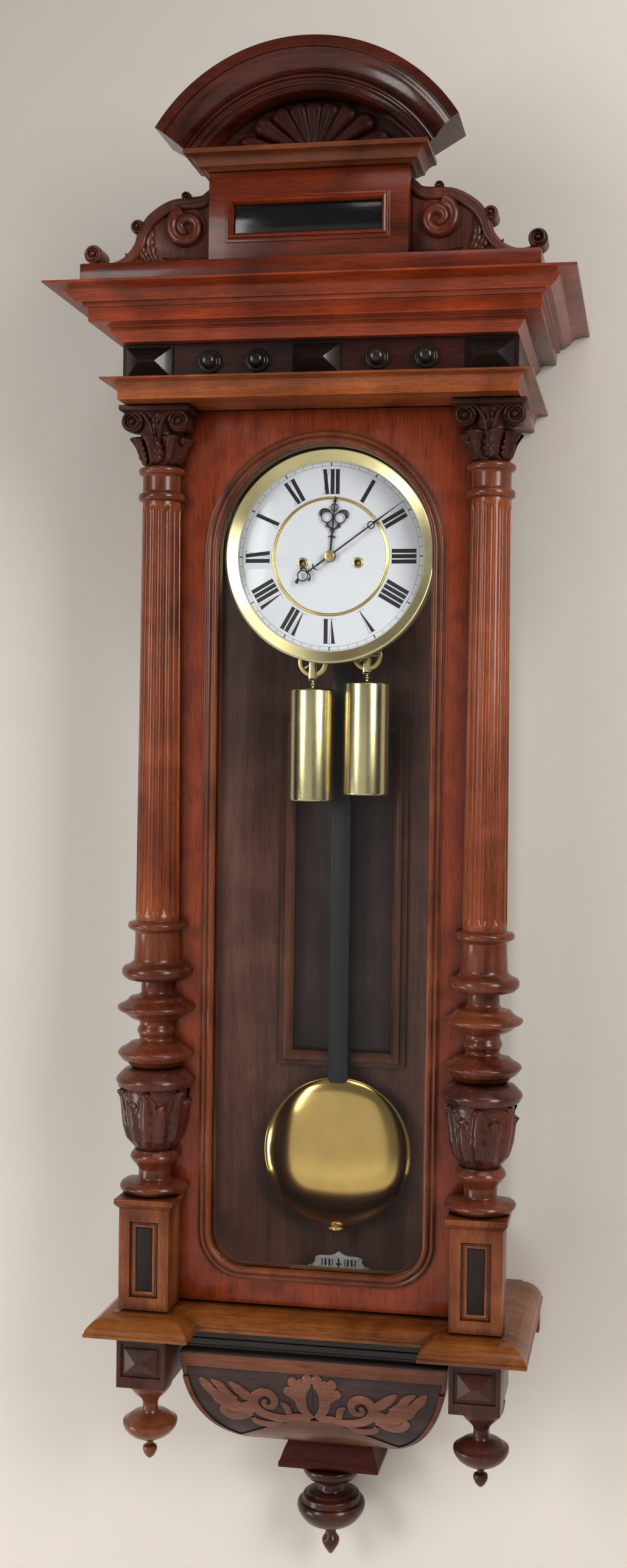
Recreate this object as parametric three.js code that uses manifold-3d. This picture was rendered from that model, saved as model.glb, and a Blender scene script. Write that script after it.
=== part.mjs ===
import * as THREE from "three";
import { mergeVertices } from "three/addons/utils/BufferGeometryUtils.js";
import Module from "manifold-3d";

// Sizes in millimetres. X runs right, Y into the wall and Z up.
// Height zero is the dial's centre, and depths are measured forward from the wall.

// Fits and fineness
const fitGap = 0.3;
const runGap = 0.6;
const overlap = 0.5;
const weld = 0.0005;
const columnSides = 16;
const smallSides = 12;
const pegSides = 8;
const cordSides = 6;
const ringSides = 32;
const arcSteps = 20;
const cornerSteps = 5;
const curveSteps = 4;

// Case
const caseHalf = 146;
const caseDepth = 106.5;
const caseRise = 133.4;
const caseHeight = 842.6;
const backBoardTail = 9.8;
const boardThickness = 12;
const sideBackStile = 30;
const sideFrontStile = 22.5;
const sideRail = 62;
const sidePaneThickness = 2;
const sideRebate = 4;
const sideRebateDepth = 5;

// Panel frame inside the case
const panelHalf = 64.3;
const panelTopDrop = 150;
const panelHeight = 350;
const panelFrameWidth = 14;
const panelRelief = 8;
const panelShares = [[0, 0.45], [0.18, 0.8], [0.4, 1], [0.62, 0.95], [0.7, 0.6], [1, 0.4]];

// Keyhole for the wall hook
const hangerSkin = 2.5;
const hangerInset = 41.4;
const hangerHole = 5;
const hangerSlot = 2.6;
const hangerSlotLength = 9;
const hangerPocket = 22;
const hangerPocketDepth = 9;

// Cornices and frieze
const corniceSide = 35;
const corniceStand = 76.5;
const friezeSide = 1;
const friezeSetback = 11;
const friezeHeight = 33.5;
const friezeThickness = 14;
const lowerCorniceHeight = 17.8;
const lowerCorniceReach = 15;
const lowerCorniceShares = [
  [0.13, 0], [0.13, 0.36], [0.2, 0.6], [0.29, 0.8], [0.57, 0.88], [0.95, 0.9], [1, 0.92], [1, 1],
];
const mainCorniceHeight = 42.4;
const mainCorniceReach = 54.5;
const mainCorniceBoard = 12;
const mainCorniceShares = [
  [0.01, 0], [0.08, 0.13], [0.13, 0.27], [0.17, 0.31], [0.41, 0.34], [0.42, 0.59], [0.475, 0.61],
  [0.495, 0.69], [0.575, 0.7], [0.64, 0.76], [0.675, 0.82], [0.75, 0.9], [0.88, 0.945], [0.99, 0.955], [1, 0.965],
  [1, 1],
];

// Bosses and buttons on the frieze
const bossWidth = 44;
const bossHeight = 28;
const bossStand = 11;
const bossRim = 2;
const bossRidge = 16;
const bossInset = 25.5;
const buttonPlaces = [-99.6, -55.1, 55.1, 99.6];
const buttonRadius = 10.7;
const buttonStand = 12;
const buttonShares = [[1, 0], [1, 0.2], [0.82, 0.3], [0.68, 0.34], [0.72, 0.6], [0.6, 0.82], [0.34, 0.96], [0, 1]];

// Crest
const crestBack = 178;
const railSide = 23.5;
const railFront = 226;
const railHeight = 16.7;
const tabletHalf = 89;
const tabletBack = 181;
const tabletFront = 218.5;
const tabletHeight = 77;
const tabletFrameHalf = 73;
const tabletFrameFoot = 15;
const tabletFrameHeight = 40;
const tabletFrameWidth = 7.5;
const tabletFrameStand = 5;
const tabletFrameShares = [[0, 0.3], [0.3, 1], [0.55, 0.85], [0.7, 0.4], [1, 0.25]];
const crestCorniceHeight = 15;
const crestCorniceReach = 18.5;
const crestCorniceShares = [
  [0.03, 0], [0.16, 0.06], [0.45, 0.16], [0.46, 0.27], [0.6, 0.43], [0.8, 0.66], [0.98, 0.72], [1, 0.74], [1, 1],
];

// Arch and shell
const archRadius = 159;
const archHalfAngle = 57;
const archCentreDrop = 67.1;
const archBack = 183;
const archFront = 236;
const archFace = 39.4;
const archRelief = 24;
const archShares = [
  [0, 0], [0.228, 0], [0.24, 0.1], [0.33, 0.14], [0.45, 0.27], [0.56, 0.44], [0.64, 0.62], [0.673, 0.66],
  [0.69, 0.58], [0.72, 0.55], [0.75, 0.58], [0.765, 0.7], [0.86, 0.74], [0.87, 0.86], [0.97, 0.9], [1, 1],
];
const shellBack = 186;
const shellPlate = 8;
const shellLobes = 9;
const shellSpread = 78;
const shellHalf = 72;
const shellHeight = 46;
const shellLobeRadius = 8.4;
const shellLobeShares = [[0, 0.08], [0.26, 0.14], [0.6, 0.5], [1, 0.84], [0.8, 0.96], [0, 1]];
const shellEyeRadius = 5;
const shellEyeSpread = 9;
const shellEyeStand = 10;

// Crest scrolls
const scrollBack = 185;
const scrollThickness = 21;
const scrollHeight = 71;
const scrollShares = [
  [0.915, 0.11], [0.815, 0.089], [0.709, 0.155], [0.63, 0.3], [0.6, 0.45], [0.531, 0.634], [0.428, 0.761],
  [0.333, 0.831], [0.247, 0.852], [0.1, 0.87], [0.05, 0.93], [0, 1],
];
const scrollFootShare = 0.95;
const scrollDiscs = [
  { xShare: 0.958, zShare: 0.197, radius: 8.5, stand: 3 },
  { xShare: 0.6, zShare: 0.521, radius: 6.5, stand: 3 },
  { xShare: 0.208, zShare: 0.87, radius: 4.4, stand: 2 },
  { xShare: 0.264, zShare: 0.444, radius: 14.5, stand: 4 },
  { xShare: 0.264, zShare: 0.444, radius: 6, stand: 7 },
];

// Door
const doorSide = 9;
const doorGap = 0.5;
const doorThickness = 22;
const doorFootGap = 2.2;
const doorStile = 53.7;
const doorFootRail = 35;
const openingCorner = 32;
const beadWidth = 12.7;
const beadStand = 4.6;
const beadShares = [[0, 0.4], [0.14, 0.86], [0.34, 1], [0.52, 0.8], [0.6, 0.36], [0.74, 0.62], [0.9, 0.5], [1, 0.1]];
const paneRebate = 6;
const paneShoulder = 3.7;
const paneThickness = 2.7;

// Hinges and hook
const hingeOffset = 3.4;
const hingeRadius = 3;
const hingeLength = 20;
const hingeKnuckle = 9;
const hingePin = 1.3;
const hingeBore = 1.7;
const hingePinLength = 6;
const hingeLeafDepth = 26;
const hingeLeafHeight = 44;
const hingeLeaf = 2;
const hingeTopInset = 90.1;
const hingeFootInset = 90;
const hookDrop = 290;
const hookPivotInset = 14;
const hookReach = 25;
const hookWidth = 5;
const hookThickness = 2;
const hookPost = 1.8;
const hookPinRadius = 1.5;
const hookPinSeat = 6;
const hookRaised = 24;
const hookThroat = 3;

// Columns
const columnSide = 0.4;
const columnStand = 5;
const columnReach = 37.5;
const neckHeight = 33.2;
const drumHeight = 61;
const spindleHeight = 78;
const vaseHeight = 119.5;
const columnRise = 80;
const shaftTopRadius = 18.2;
const shaftFootRadius = 20.6;
const shaftCore = 15.5;
const fluteCount = 16;
const fluteDepth = 1.5;
const fluteShares = [[0, 0], [0.3, 0], [0.45, 1], [0.85, 1]];
const neckShares = [
  [0.51, 0.02], [0.573, 0.066], [0.589, 0.148], [0.573, 0.229], [0.483, 0.289], [0.483, 0.729], [0.547, 0.76],
  [0.592, 0.88], [0.547, 0.97], [0.453, 1],
];
const drumShares = [
  [0.395, 0.057], [0.72, 0.066], [0.848, 0.131], [0.885, 0.213], [0.827, 0.279], [0.693, 0.311], [0.6, 0.361],
  [0.581, 0.41], [0.552, 0.82], [0.693, 0.852], [0.744, 0.91], [0.707, 0.967], [0.549, 1],
];
const spindleShares = [
  [0.747, 0.064], [0.907, 0.128], [0.963, 0.179], [0.747, 0.256], [0.64, 0.295], [0.416, 0.321], [0.416, 0.372],
  [0.485, 0.436], [0.427, 0.5], [0.427, 0.551], [0.587, 0.577], [0.72, 0.615], [0.8, 0.654], [0.933, 0.679],
  [0.981, 0.721], [0.8, 0.782], [0.72, 0.808], [0.667, 0.846], [0.395, 0.872], [0.395, 1],
];
const vaseShares = [
  [0.72, 0], [0.853, 0.029], [0.883, 0.054], [0.84, 0.079], [0.72, 0.1], [0.408, 0.115], [0.416, 0.188],
  [0.573, 0.255], [0.629, 0.285], [0.52, 0.339], [0.677, 0.431], [0.787, 0.548], [0.84, 0.699], [0.88, 0.808],
  [0.867, 0.841], [0.96, 0.866], [1, 0.896], [0.88, 0.95], [0.773, 0.983], [0.587, 1],
];

// Capitals
const capitalRadius = 27;
const capitalLeaf = 3;
const capitalLeaves = 7;
const capitalPoints = 28;
const capitalShares = [
  [0.63, 0, 0], [0.68, 0.17, 0.2], [0.81, 0.36, 0.6], [1, 0.52, 1], [0.96, 0.56, 1], [0.76, 0.58, 0.3],
  [0.8, 0.7, 0.3], [0.92, 0.86, 0.2], [0.96, 1, 0],
];
const abacusHalf = 33.5;
const abacusDepth = 35;
const abacusHeight = 8;
const abacusInset = 5;
const voluteRadius = 8.2;
const voluteSpread = 25.5;
const voluteStand = 31;
const voluteEye = 3.2;
const voluteEyeStand = 3;
const leafHalf = 7;
const leafHeight = 21;
const leafStand = 8;

// Pedestals
const pedestalInset = 24;
const pedestalOutset = 24.4;
const pedestalStand = 37;
const pedestalHeight = 104.2;
const pedestalLift = 1.2;
const pedestalCap = 4;
const pedestalShares = [[0, 0], [0, 0.91], [0.4, 0.924], [1, 0.95], [1, 1]];
const panelMarginX = 10.5;
const panelMarginZ = 12;
const panelSink = 3;
const stripHalf = 5;
const stripMargin = 8.5;
const stripStand = 2.2;

// Base moulding
const baseHeight = 19.2;
const baseReach = 25.4;
const baseShares = [
  [0.4, 0], [0.96, 0.03], [1, 0.06], [1, 0.2], [0.95, 0.24], [0.86, 0.5], [0.7, 0.72], [0.45, 0.88], [0.2, 0.95],
  [0.16, 0.96], [0.16, 1],
];
const backPlateSide = 57;
const backPlateHeight = 29;

// Drop blocks and side finials
const blockInset = 22.6;
const blockOutset = 24.6;
const blockDepth = 80;
const blockStand = 40;
const blockHeight = 52;
const blockBossHalf = 16;
const blockBossHeight = 24;
const blockBossStand = 7;
const finialInset = 20.9;
const finialHeight = 81;
const finialRadius = 26;
const finialShares = [
  [0, 0], [0.13, 0.03], [0.24, 0.08], [0.265, 0.125], [0.22, 0.155], [0.12, 0.17], [0.12, 0.23], [0.3, 0.245],
  [0.62, 0.29], [0.85, 0.35], [0.98, 0.42], [1, 0.45], [0.94, 0.475], [0.66, 0.49], [0.62, 0.53], [0.4, 0.55],
  [0.285, 0.59], [0.285, 0.68], [0.4, 0.74], [0.66, 0.82], [0.82, 0.9], [0.83, 1],
];

// Apron and its drop
const apronNeckInset = 10.8;
const apronNeckStand = 2;
const apronNeckHeight = 25;
const apronSwell = 5.6;
const apronSwellFront = 8;
const apronHeight = 105;
const apronFootHalf = 44;
const apronFootFront = 60;
const apronStep = 3;
const capTopHalf = 33;
const capTopFront = 38;
const capHeight = 36;
const capReach = 17.4;
const capShares = [[0.93, 0], [1, 0.05], [1, 0.12], [0.93, 0.2], [0.72, 0.5], [0.45, 0.76], [0.15, 0.94], [0, 1]];
const dropDepth = 36;
const dropHeight = 90;
const dropRadius = 34;
const dropShares = [
  [0, 0], [0.12, 0.04], [0.24, 0.12], [0.255, 0.17], [0.2, 0.215], [0.15, 0.235], [0.15, 0.29], [0.25, 0.33],
  [0.62, 0.37], [0.85, 0.44], [0.97, 0.52], [1, 0.57], [0.95, 0.61], [0.82, 0.63], [0.8, 0.67], [0.6, 0.69],
  [0.56, 0.72], [0.37, 0.74], [0.37, 0.82], [0.6, 0.86], [0.79, 0.92], [0.84, 0.97], [0.84, 1],
];

// Dial and bezel
const dialFront = 102;
const dialThickness = 2;
const dialRadius = 93;
const dialFoot = 3;
const dialFootSpread = 38;
const bezelOuter = 100;
const bezelInner = 89.5;
const bezelFront = 109;
const bezelBack = 97;
const bezelLip = 1.4;
const bezelShares = [[0, 0], [0.14, 0.3], [0.3, 0.36], [0.42, 0.7], [0.62, 0.76], [0.74, 1], [0.92, 1], [1, 0.86]];
const dialRingOuter = 56.5;
const dialRingWidth = 3.3;
const dialRingStand = 0.8;
const dialCentreHole = 5;

// Movement
const seatHalf = 62;
const seatFront = 96;
const seatDrop = 66;
const seatThickness = 10;
const seatNotchHalf = 26;
const seatNotchDepth = 44;
const gutSlot = 3.5;
const plateHalf = 50;
const plateRise = 72;
const plateThickness = 4;
const backPlateDepth = 48;
const frontPlateDepth = 88;
const pillarRadius = 4;
const pillarInset = 9;
const arborRadius = 2.5;
const arborClearance = 0.4;
const winderDrop = 6;
const winderSpread = 26.6;
const winderReach = 97;
const winderHole = 4.2;

// Drums, gut, pulleys and weights
const lineDepth = 68;
const gutRadius = 0.8;
const gutClearance = 0.3;
const drumLineRadius = 17;
const drumWidth = 18;
const drumFlange = 1.6;
const drumFlangeRise = 2.4;
const greatWheelRadius = 24.8;
const greatWheelThickness = 2.4;
const pulleyLineRadius = 13;
const pulleyOuter = 14.3;
const pulleyHalf = 2.6;
const pulleyRim = 0.7;
const pulleyBore = 2.4;
const axleRadius = 2;
const stirrupThickness = 1.5;
const stirrupHalf = 4;
const stirrupClearance = 1;
const stirrupDrop = 2.5;
const hookStem = 1.6;
const weightRadius = 23;
const weightHeight = 109;
const weightTopDrops = [124, 117.3];
const pulleyAboveWeight = 26;
const weightShares = [[0, 0], [0.86, 0], [0.95, 0.012], [1, 0.04], [1, 0.955], [0.96, 0.98], [0.8, 1], [0, 1]];

// Hands
const minuteHandLength = 87;
const minuteHandTail = 41;
const minuteHandAngle = 54;
const minuteHandBack = 106.6;
const hourHandLength = 57;
const hourHandTail = 9;
const hourHandAngle = 4.7;
const hourHandBack = 103.4;
const handThickness = 1.2;
const handStem = 0.9;
const handTip = 0.3;
const handCollet = 6;
const handBar = 4.2;
const handBarHalf = 0.7;
const hourPipe = 4.3;
const hourPipeBore = 3;
const handPipeBack = 92.8;
const minuteBars = [-18];
const minuteRings = [{ x: 0, z: 49, radius: 3.8, hole: 2.5 }, { x: 0, z: 54.5, radius: 2, hole: 0 },
  { x: 0, z: -31.5, radius: 5.6, hole: 4 }, { x: 0, z: -39, radius: 2, hole: 0 },
  { x: -5.4, z: -27.5, radius: 1.6, hole: 0 }, { x: 5.4, z: -27.5, radius: 1.6, hole: 0 }];
const hourBars = [18.5];
const hourRings = [{ x: -6.4, z: 36.8, radius: 5.8, hole: 4.4 }, { x: 6.4, z: 36.8, radius: 5.8, hole: 4.4 },
  { x: 0, z: 46.2, radius: 4.2, hole: 2.8 }, { x: -4.8, z: 29.8, radius: 2.2, hole: 0 },
  { x: 4.8, z: 29.8, radius: 2.2, hole: 0 }, { x: -11.6, z: 40.5, radius: 1.9, hole: 0 },
  { x: 11.6, z: 40.5, radius: 1.9, hole: 0 }, { x: 0, z: 24.5, radius: 2.6, hole: 1.2 }];

// Escapement, pendulum and strike
const pivotRise = 60;
const escapeRise = 26;
const escapeRadius = 16;
const escapeRoot = 13;
const escapeTeeth = 30;
const escapeThickness = 2;
const trainDepth = 76;
const anchorHalf = 18.5;
const anchorWidth = 5;
const anchorThickness = 4;
const anchorSlope = 20;
const anchorPalletDrop = 5;
const anchorHub = 5;
const crutchBack = 37;
const crutchThickness = 2;
const crutchLength = 64;
const crutchHalf = 2.5;
const cockHalf = 18;
const cockHeight = 34;
const cockThickness = 3;
const cockArmHalf = 7;
const cockArmHeight = 12;
const cockReach = 36;
const pendulumDepth = 30;
const rodHalf = 10;
const rodThickness = 8;
const springHalf = 4;
const springThickness = 1;
const springLength = 14;
const bobRadius = 74.5;
const bobHalfThickness = 13;
const bobLift = 126.2;
const bobOverlap = 9;
const bobShares = [[1, 0.06], [0.985, 0.14], [0.8, 0.45], [0.5, 0.78], [0.2, 0.97], [0, 1]];
const crutchPin = 1.2;
const rodSlot = 16;
const nutRadius = 7;
const nutHeight = 7;
const threadRadius = 2.2;
const threadLength = 18;
const nutShares = [[0.7, 0], [1, 0.14], [1, 0.86], [0.7, 1]];
const beatLift = 8.2;
const beatHalf = 31.5;
const beatHeight = 15;
const beatThickness = 2.7;
const beatTopHalf = 27;
const beatPoint = 5;
const gongX = -86;
const gongRise = 46;
const gongInner = 12;
const gongOuter = 34;
const gongTurns = 2.5;
const gongTurnSteps = 14;
const gongWire = 1.6;
const gongDepth = 24;
const gongBlockHalf = 6;
const hammerX = -40;
const hammerDrop = 20;
const hammerArm = 62;
const hammerArmHalf = 1.6;
const hammerHeadRadius = 5;
const hammerHeadLength = 9;
const hammerGap = 1.5;

// Heights that follow from the sizes
const caseDrop = caseHeight - caseRise;
const floorDrop = caseDrop + backBoardTail;
const hangerRise = caseRise - hangerInset;
const corniceHalf = caseHalf + corniceSide;
const corniceFront = caseDepth + corniceStand;
const friezeHalf = corniceHalf + friezeSide;
const friezeFront = corniceFront - friezeSetback;
const bossSpread = friezeHalf - bossInset;
const railHalf = corniceHalf + railSide;
const doorHalf = caseHalf + doorSide;
const doorBack = caseDepth + doorGap;
const doorRise = caseRise - fitGap;
const doorDrop = caseDrop - doorFootGap;
const openingHalf = doorHalf - doorStile;
const openingDrop = doorDrop - doorFootRail;
const hingeAxisHalf = doorHalf + hingeOffset;
const hingeHeights = [hingeFootInset - doorDrop, doorRise - hingeTopInset];
const lowerCorniceFoot = caseRise + fitGap;
const friezeFoot = lowerCorniceFoot + lowerCorniceHeight + fitGap;
const mainCorniceFoot = friezeFoot + friezeHeight + fitGap;
const railFoot = mainCorniceFoot + mainCorniceHeight + fitGap;
const tabletFoot = railFoot + railHeight + fitGap;
const crestCorniceFoot = tabletFoot + tabletHeight + fitGap;
const archSeat = crestCorniceFoot + crestCorniceHeight + fitGap;
const archCentre = crestCorniceFoot + crestCorniceHeight - archCentreDrop;
const doorFront = doorBack + doorThickness;
const facing = doorFront + fitGap;
const columnSpread = doorHalf + columnSide;
const columnDepth = doorFront + columnStand;
const pedestalInner = columnSpread - pedestalInset;
const pedestalOuter = columnSpread + pedestalOutset;
const pedestalFront = doorFront + pedestalStand;
const pedestalDrop = caseDrop - pedestalLift;
const pedestalTop = pedestalHeight - pedestalDrop;
const columnFoot = pedestalTop + fitGap;
const shaftHeight = columnRise - neckHeight - drumHeight - spindleHeight - vaseHeight - columnFoot;
const baseRise = caseDrop + fitGap;
const baseFoot = -baseRise - baseHeight;
const backPlateHalf = caseHalf + backPlateSide;
const blockInner = columnSpread - blockInset;
const blockOuter = columnSpread + blockOutset;
const blockFront = doorFront + blockStand;
const blockBack = blockFront - blockDepth;
const finialSpread = blockOuter - finialInset;
const finialDepth = (blockBack + blockFront) / 2;
const apronNeckHalf = blockInner - apronNeckInset;
const apronNeckFront = doorFront + apronNeckStand;
const apronHalf = apronNeckHalf + apronSwell;
const apronFront = apronNeckFront + apronSwellFront;
const blockTop = baseFoot - fitGap;
const blockFoot = blockTop - blockHeight;
const apronTop = baseFoot - fitGap;
const apronFace = apronTop - apronNeckHeight;
const apronFoot = apronFace - apronHeight;
const capTop = apronFoot - fitGap;
const capFoot = capTop - capHeight;
const plateFoot = -seatDrop + seatThickness + fitGap;
const bobDrop = caseDrop - bobLift;
const beatCentreDrop = caseDrop - beatLift;

// Materials
const paint = (color, roughness, metalness) => new THREE.MeshStandardMaterial({ color, roughness, metalness });
const walnut = () => paint(0x8a4a22, 0.35, 0);
const darkWood = () => paint(0x2e1710, 0.35, 0);
const brass = () => paint(0xc8a04a, 0.25, 1);
const steel = () => paint(0x9a9ca0, 0.35, 1);
const blackPaint = () => paint(0x101010, 0.4, 0);
const glass = () => paint(0xdfe8ea, 0.05, 0);
const enamel = () => paint(0xf2efe6, 0.2, 0);
const gutColour = () => paint(0xb79a68, 0.6, 0);

const kernel = await Module();
kernel.setup();

// Solids
function solid(geometry) {
  const loose = geometry.index ? geometry.toNonIndexed() : geometry;
  const bare = new THREE.BufferGeometry().setAttribute("position", loose.getAttribute("position"));
  const merged = mergeVertices(bare, weld);
  const mesh = new kernel.Mesh({
    numProp: 3,
    vertProperties: merged.attributes.position.array,
    triVerts: new Uint32Array(merged.index.array),
  });
  return new kernel.Manifold(mesh);
}

function union(...solids) {
  return solids.reduce((sum, next) => sum.add(next));
}

function block(left, right, back, front, foot, top) {
  const box = new THREE.BoxGeometry(right - left, front - back, top - foot);
  return solid(box.translate((left + right) / 2, -(back + front) / 2, (foot + top) / 2));
}

function prism(outline, back, front) {
  const drawn = outline instanceof THREE.Shape;
  const shape = drawn ? outline : new THREE.Shape(outline.map(([x, z]) => new THREE.Vector2(x, z)));
  const settings = { depth: front - back, bevelEnabled: false, curveSegments: curveSteps };
  return solid(new THREE.ExtrudeGeometry(shape, settings).translate(0, 0, back).rotateX(Math.PI / 2));
}

function turned(profile, sides, x, depth) {
  const points = profile.map(([radius, height]) => new THREE.Vector2(radius, height));
  return solid(new THREE.LatheGeometry(points, sides).rotateX(Math.PI / 2).translate(x, -depth, 0));
}

function turnedForward(profile, sides, x, z) {
  const points = profile.map(([radius, depth]) => new THREE.Vector2(radius, depth));
  return solid(new THREE.LatheGeometry(points, sides).rotateX(Math.PI).translate(x, 0, z));
}

function peg(start, end, radius, sides = pegSides, endRadius = radius) {
  const from = new THREE.Vector3(start[0], -start[1], start[2]);
  const way = new THREE.Vector3(end[0], -end[1], end[2]).sub(from);
  const turn = new THREE.Quaternion().setFromUnitVectors(new THREE.Vector3(0, 1, 0), way.clone().normalize());
  const middle = from.addScaledVector(way, 1 / 2);
  const cylinder = new THREE.CylinderGeometry(endRadius, radius, way.length(), sides);
  return solid(cylinder.applyQuaternion(turn).translate(middle.x, middle.y, middle.z));
}

function disc(x, z, radius, back, front, sides = smallSides) {
  return peg([x, back, z], [x, front, z], radius, sides);
}

function capFaces(ring) {
  const normal = new THREE.Vector3();
  ring.forEach((point, i) => normal.add(point.clone().cross(ring[(i + 1) % ring.length])));
  normal.normalize();
  const across = ring[1].clone().sub(ring[0]).normalize();
  const up = normal.clone().cross(across);
  return THREE.ShapeUtils.triangulateShape(ring.map((p) => new THREE.Vector2(p.dot(across), p.dot(up))), []);
}

// Rings of equal count joined in turn, closed by caps or by wrapping round.
function loft(rings, wrap = false) {
  const corners = [];
  const bands = wrap ? rings.length : rings.length - 1;
  for (let k = 0; k < bands; k += 1) {
    const low = rings[k];
    const high = rings[(k + 1) % rings.length];
    low.forEach((point, i) => {
      const j = (i + 1) % low.length;
      corners.push(point, low[j], high[j], point, high[j], high[i]);
    });
  }
  if (!wrap) {
    const last = rings.at(-1);
    capFaces(rings[0]).forEach(([a, b, c]) => corners.push(rings[0][c], rings[0][b], rings[0][a]));
    capFaces(last).forEach(([a, b, c]) => corners.push(last[a], last[b], last[c]));
  }
  const volume = corners.reduce(
    (sum, point, i) => (i % 3 ? sum : sum + point.dot(corners[i + 1].clone().cross(corners[i + 2]))), 0);
  const facingOut = volume < 0 ? corners.toReversed() : corners;
  return solid(new THREE.BufferGeometry().setFromPoints(facingOut));
}

// Shares of a reach and a height turned into lengths above a foot.
function scaled(shares, reach, height, foot) {
  return shares.map(([reachShare, heightShare]) => [reachShare * reach, foot + heightShare * height]);
}

// A mitred moulding: the plan outline grows by each level's projection.
function moulding(plan, levels) {
  return loft(levels.map(([reach, z]) => plan(reach).map(([x, depth]) => new THREE.Vector3(x, -depth, z))));
}

function wallPlan(half, front, back = 0) {
  return (reach) => [
    [-half - reach, back],
    [half + reach, back],
    [half + reach, front + reach],
    [-half - reach, front + reach],
  ];
}

// A moulding that runs round a closed outline in the front plane.
function loopMoulding(outline, section) {
  return loft(section.map(([reach, depth]) => outline(reach).map(([x, z]) => new THREE.Vector3(x, -depth, z))), true);
}

function rectangleOutline(half, foot, top) {
  return (reach) => [
    [-half - reach, foot - reach],
    [half + reach, foot - reach],
    [half + reach, top + reach],
    [-half - reach, top + reach],
  ];
}

function arcPoints(x, z, radius, start, end, steps) {
  return Array.from({ length: steps + 1 }, (_, i) => {
    const angle = THREE.MathUtils.degToRad(start + ((end - start) * i) / steps);
    return [x + radius * Math.cos(angle), z + radius * Math.sin(angle)];
  });
}

const mirrored = (solidHalf) => solidHalf.mirror([1, 0, 0]);

const clock = new THREE.Group();
clock.name = "vienna_regulator_clock";

function add(name, made, material) {
  const { vertProperties, triVerts, numProp, numVert } = made.getMesh();
  const positions = new Float32Array(numVert * 3);
  for (let i = 0; i < numVert; i += 1) {
    positions.set(vertProperties.subarray(i * numProp, i * numProp + 3), i * 3);
  }
  const geometry = new THREE.BufferGeometry()
    .setAttribute("position", new THREE.BufferAttribute(positions, 3))
    .setIndex(new THREE.BufferAttribute(new Uint32Array(triVerts), 1));
  geometry.computeVertexNormals();
  const mesh = new THREE.Mesh(geometry, material);
  mesh.name = name;
  clock.add(mesh);
}

function addPair(name, made, material) {
  add(name + "_right", made, material());
  add(name + "_left", mirrored(made), material());
}

// Case boards
function panelFrame() {
  const foot = -panelTopDrop - panelHeight;
  const top = -panelTopDrop - panelFrameWidth;
  const outline = rectangleOutline(panelHalf - panelFrameWidth, foot + panelFrameWidth, top);
  return loopMoulding(outline, [[0, boardThickness - overlap],
    ...scaled(panelShares, panelFrameWidth, panelRelief, boardThickness), [panelFrameWidth, boardThickness - overlap]]);
}

function backBoard() {
  const half = caseHalf - boardThickness - fitGap;
  const board = block(-half, half, 0, boardThickness, -floorDrop + fitGap, caseRise);
  const pocket = block(-hangerPocket / 2, hangerPocket / 2, hangerSkin, hangerPocketDepth,
    hangerRise - hangerPocket / 2, hangerRise + hangerPocket / 2);
  const hole = disc(0, hangerRise - hangerSlotLength / 2, hangerHole, -overlap, hangerSkin + overlap);
  const slot = block(-hangerSlot, hangerSlot, -overlap, hangerSkin + overlap,
    hangerRise - hangerSlotLength / 2, hangerRise + hangerSlotLength / 2);
  return board.add(panelFrame()).subtract(union(pocket, hole, slot));
}

function sideFrame() {
  const inner = caseHalf - boardThickness;
  const windowFront = caseDepth - sideFrontStile;
  const windowFoot = -caseDrop + sideRail;
  const windowTop = caseRise - sideRail;
  const board = block(inner, caseHalf, 0, caseDepth, -caseDrop, caseRise);
  const window = block(inner - overlap, caseHalf + overlap, sideBackStile, windowFront, windowFoot, windowTop);
  const rebate = block(inner - overlap, inner + sideRebateDepth, sideBackStile - sideRebate, windowFront + sideRebate,
    windowFoot - sideRebate, windowTop + sideRebate);
  return board.subtract(window).subtract(rebate);
}

function sideGlass() {
  const shoulder = caseHalf - boardThickness + sideRebateDepth - fitGap;
  const edge = sideRebate - fitGap;
  return block(shoulder - sidePaneThickness, shoulder, sideBackStile - edge, caseDepth - sideFrontStile + edge,
    -caseDrop + sideRail - edge, caseRise - sideRail + edge);
}


// Cornices and frieze
function lowerCornice() {
  const levels = scaled(lowerCorniceShares, lowerCorniceReach, lowerCorniceHeight, lowerCorniceFoot);
  return moulding(wallPlan(corniceHalf, corniceFront), levels);
}

function mainCornice() {
  const levels = scaled(mainCorniceShares, mainCorniceReach, mainCorniceHeight, mainCorniceFoot);
  const inner = friezeHalf - friezeThickness;
  const pocket = block(-inner, inner, boardThickness, friezeFront - friezeThickness, mainCorniceFoot - overlap,
    mainCorniceFoot + mainCorniceHeight - mainCorniceBoard);
  return moulding(wallPlan(corniceHalf, corniceFront), levels).subtract(pocket);
}

function facetedBoss(x, z, width, height, stand, ridge, face) {
  const ring = (halfWidth, halfHeight, depth) => [
    [x - halfWidth, z - halfHeight],
    [x + halfWidth, z - halfHeight],
    [x + halfWidth, z + halfHeight],
    [x - halfWidth, z + halfHeight],
  ].map(([px, pz]) => new THREE.Vector3(px, -depth, pz));
  return loft([
    ring(width / 2, height / 2, face - overlap),
    ring(width / 2, height / 2, face + bossRim),
    ring(ridge / 2, fitGap, face + stand),
  ]);
}

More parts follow.
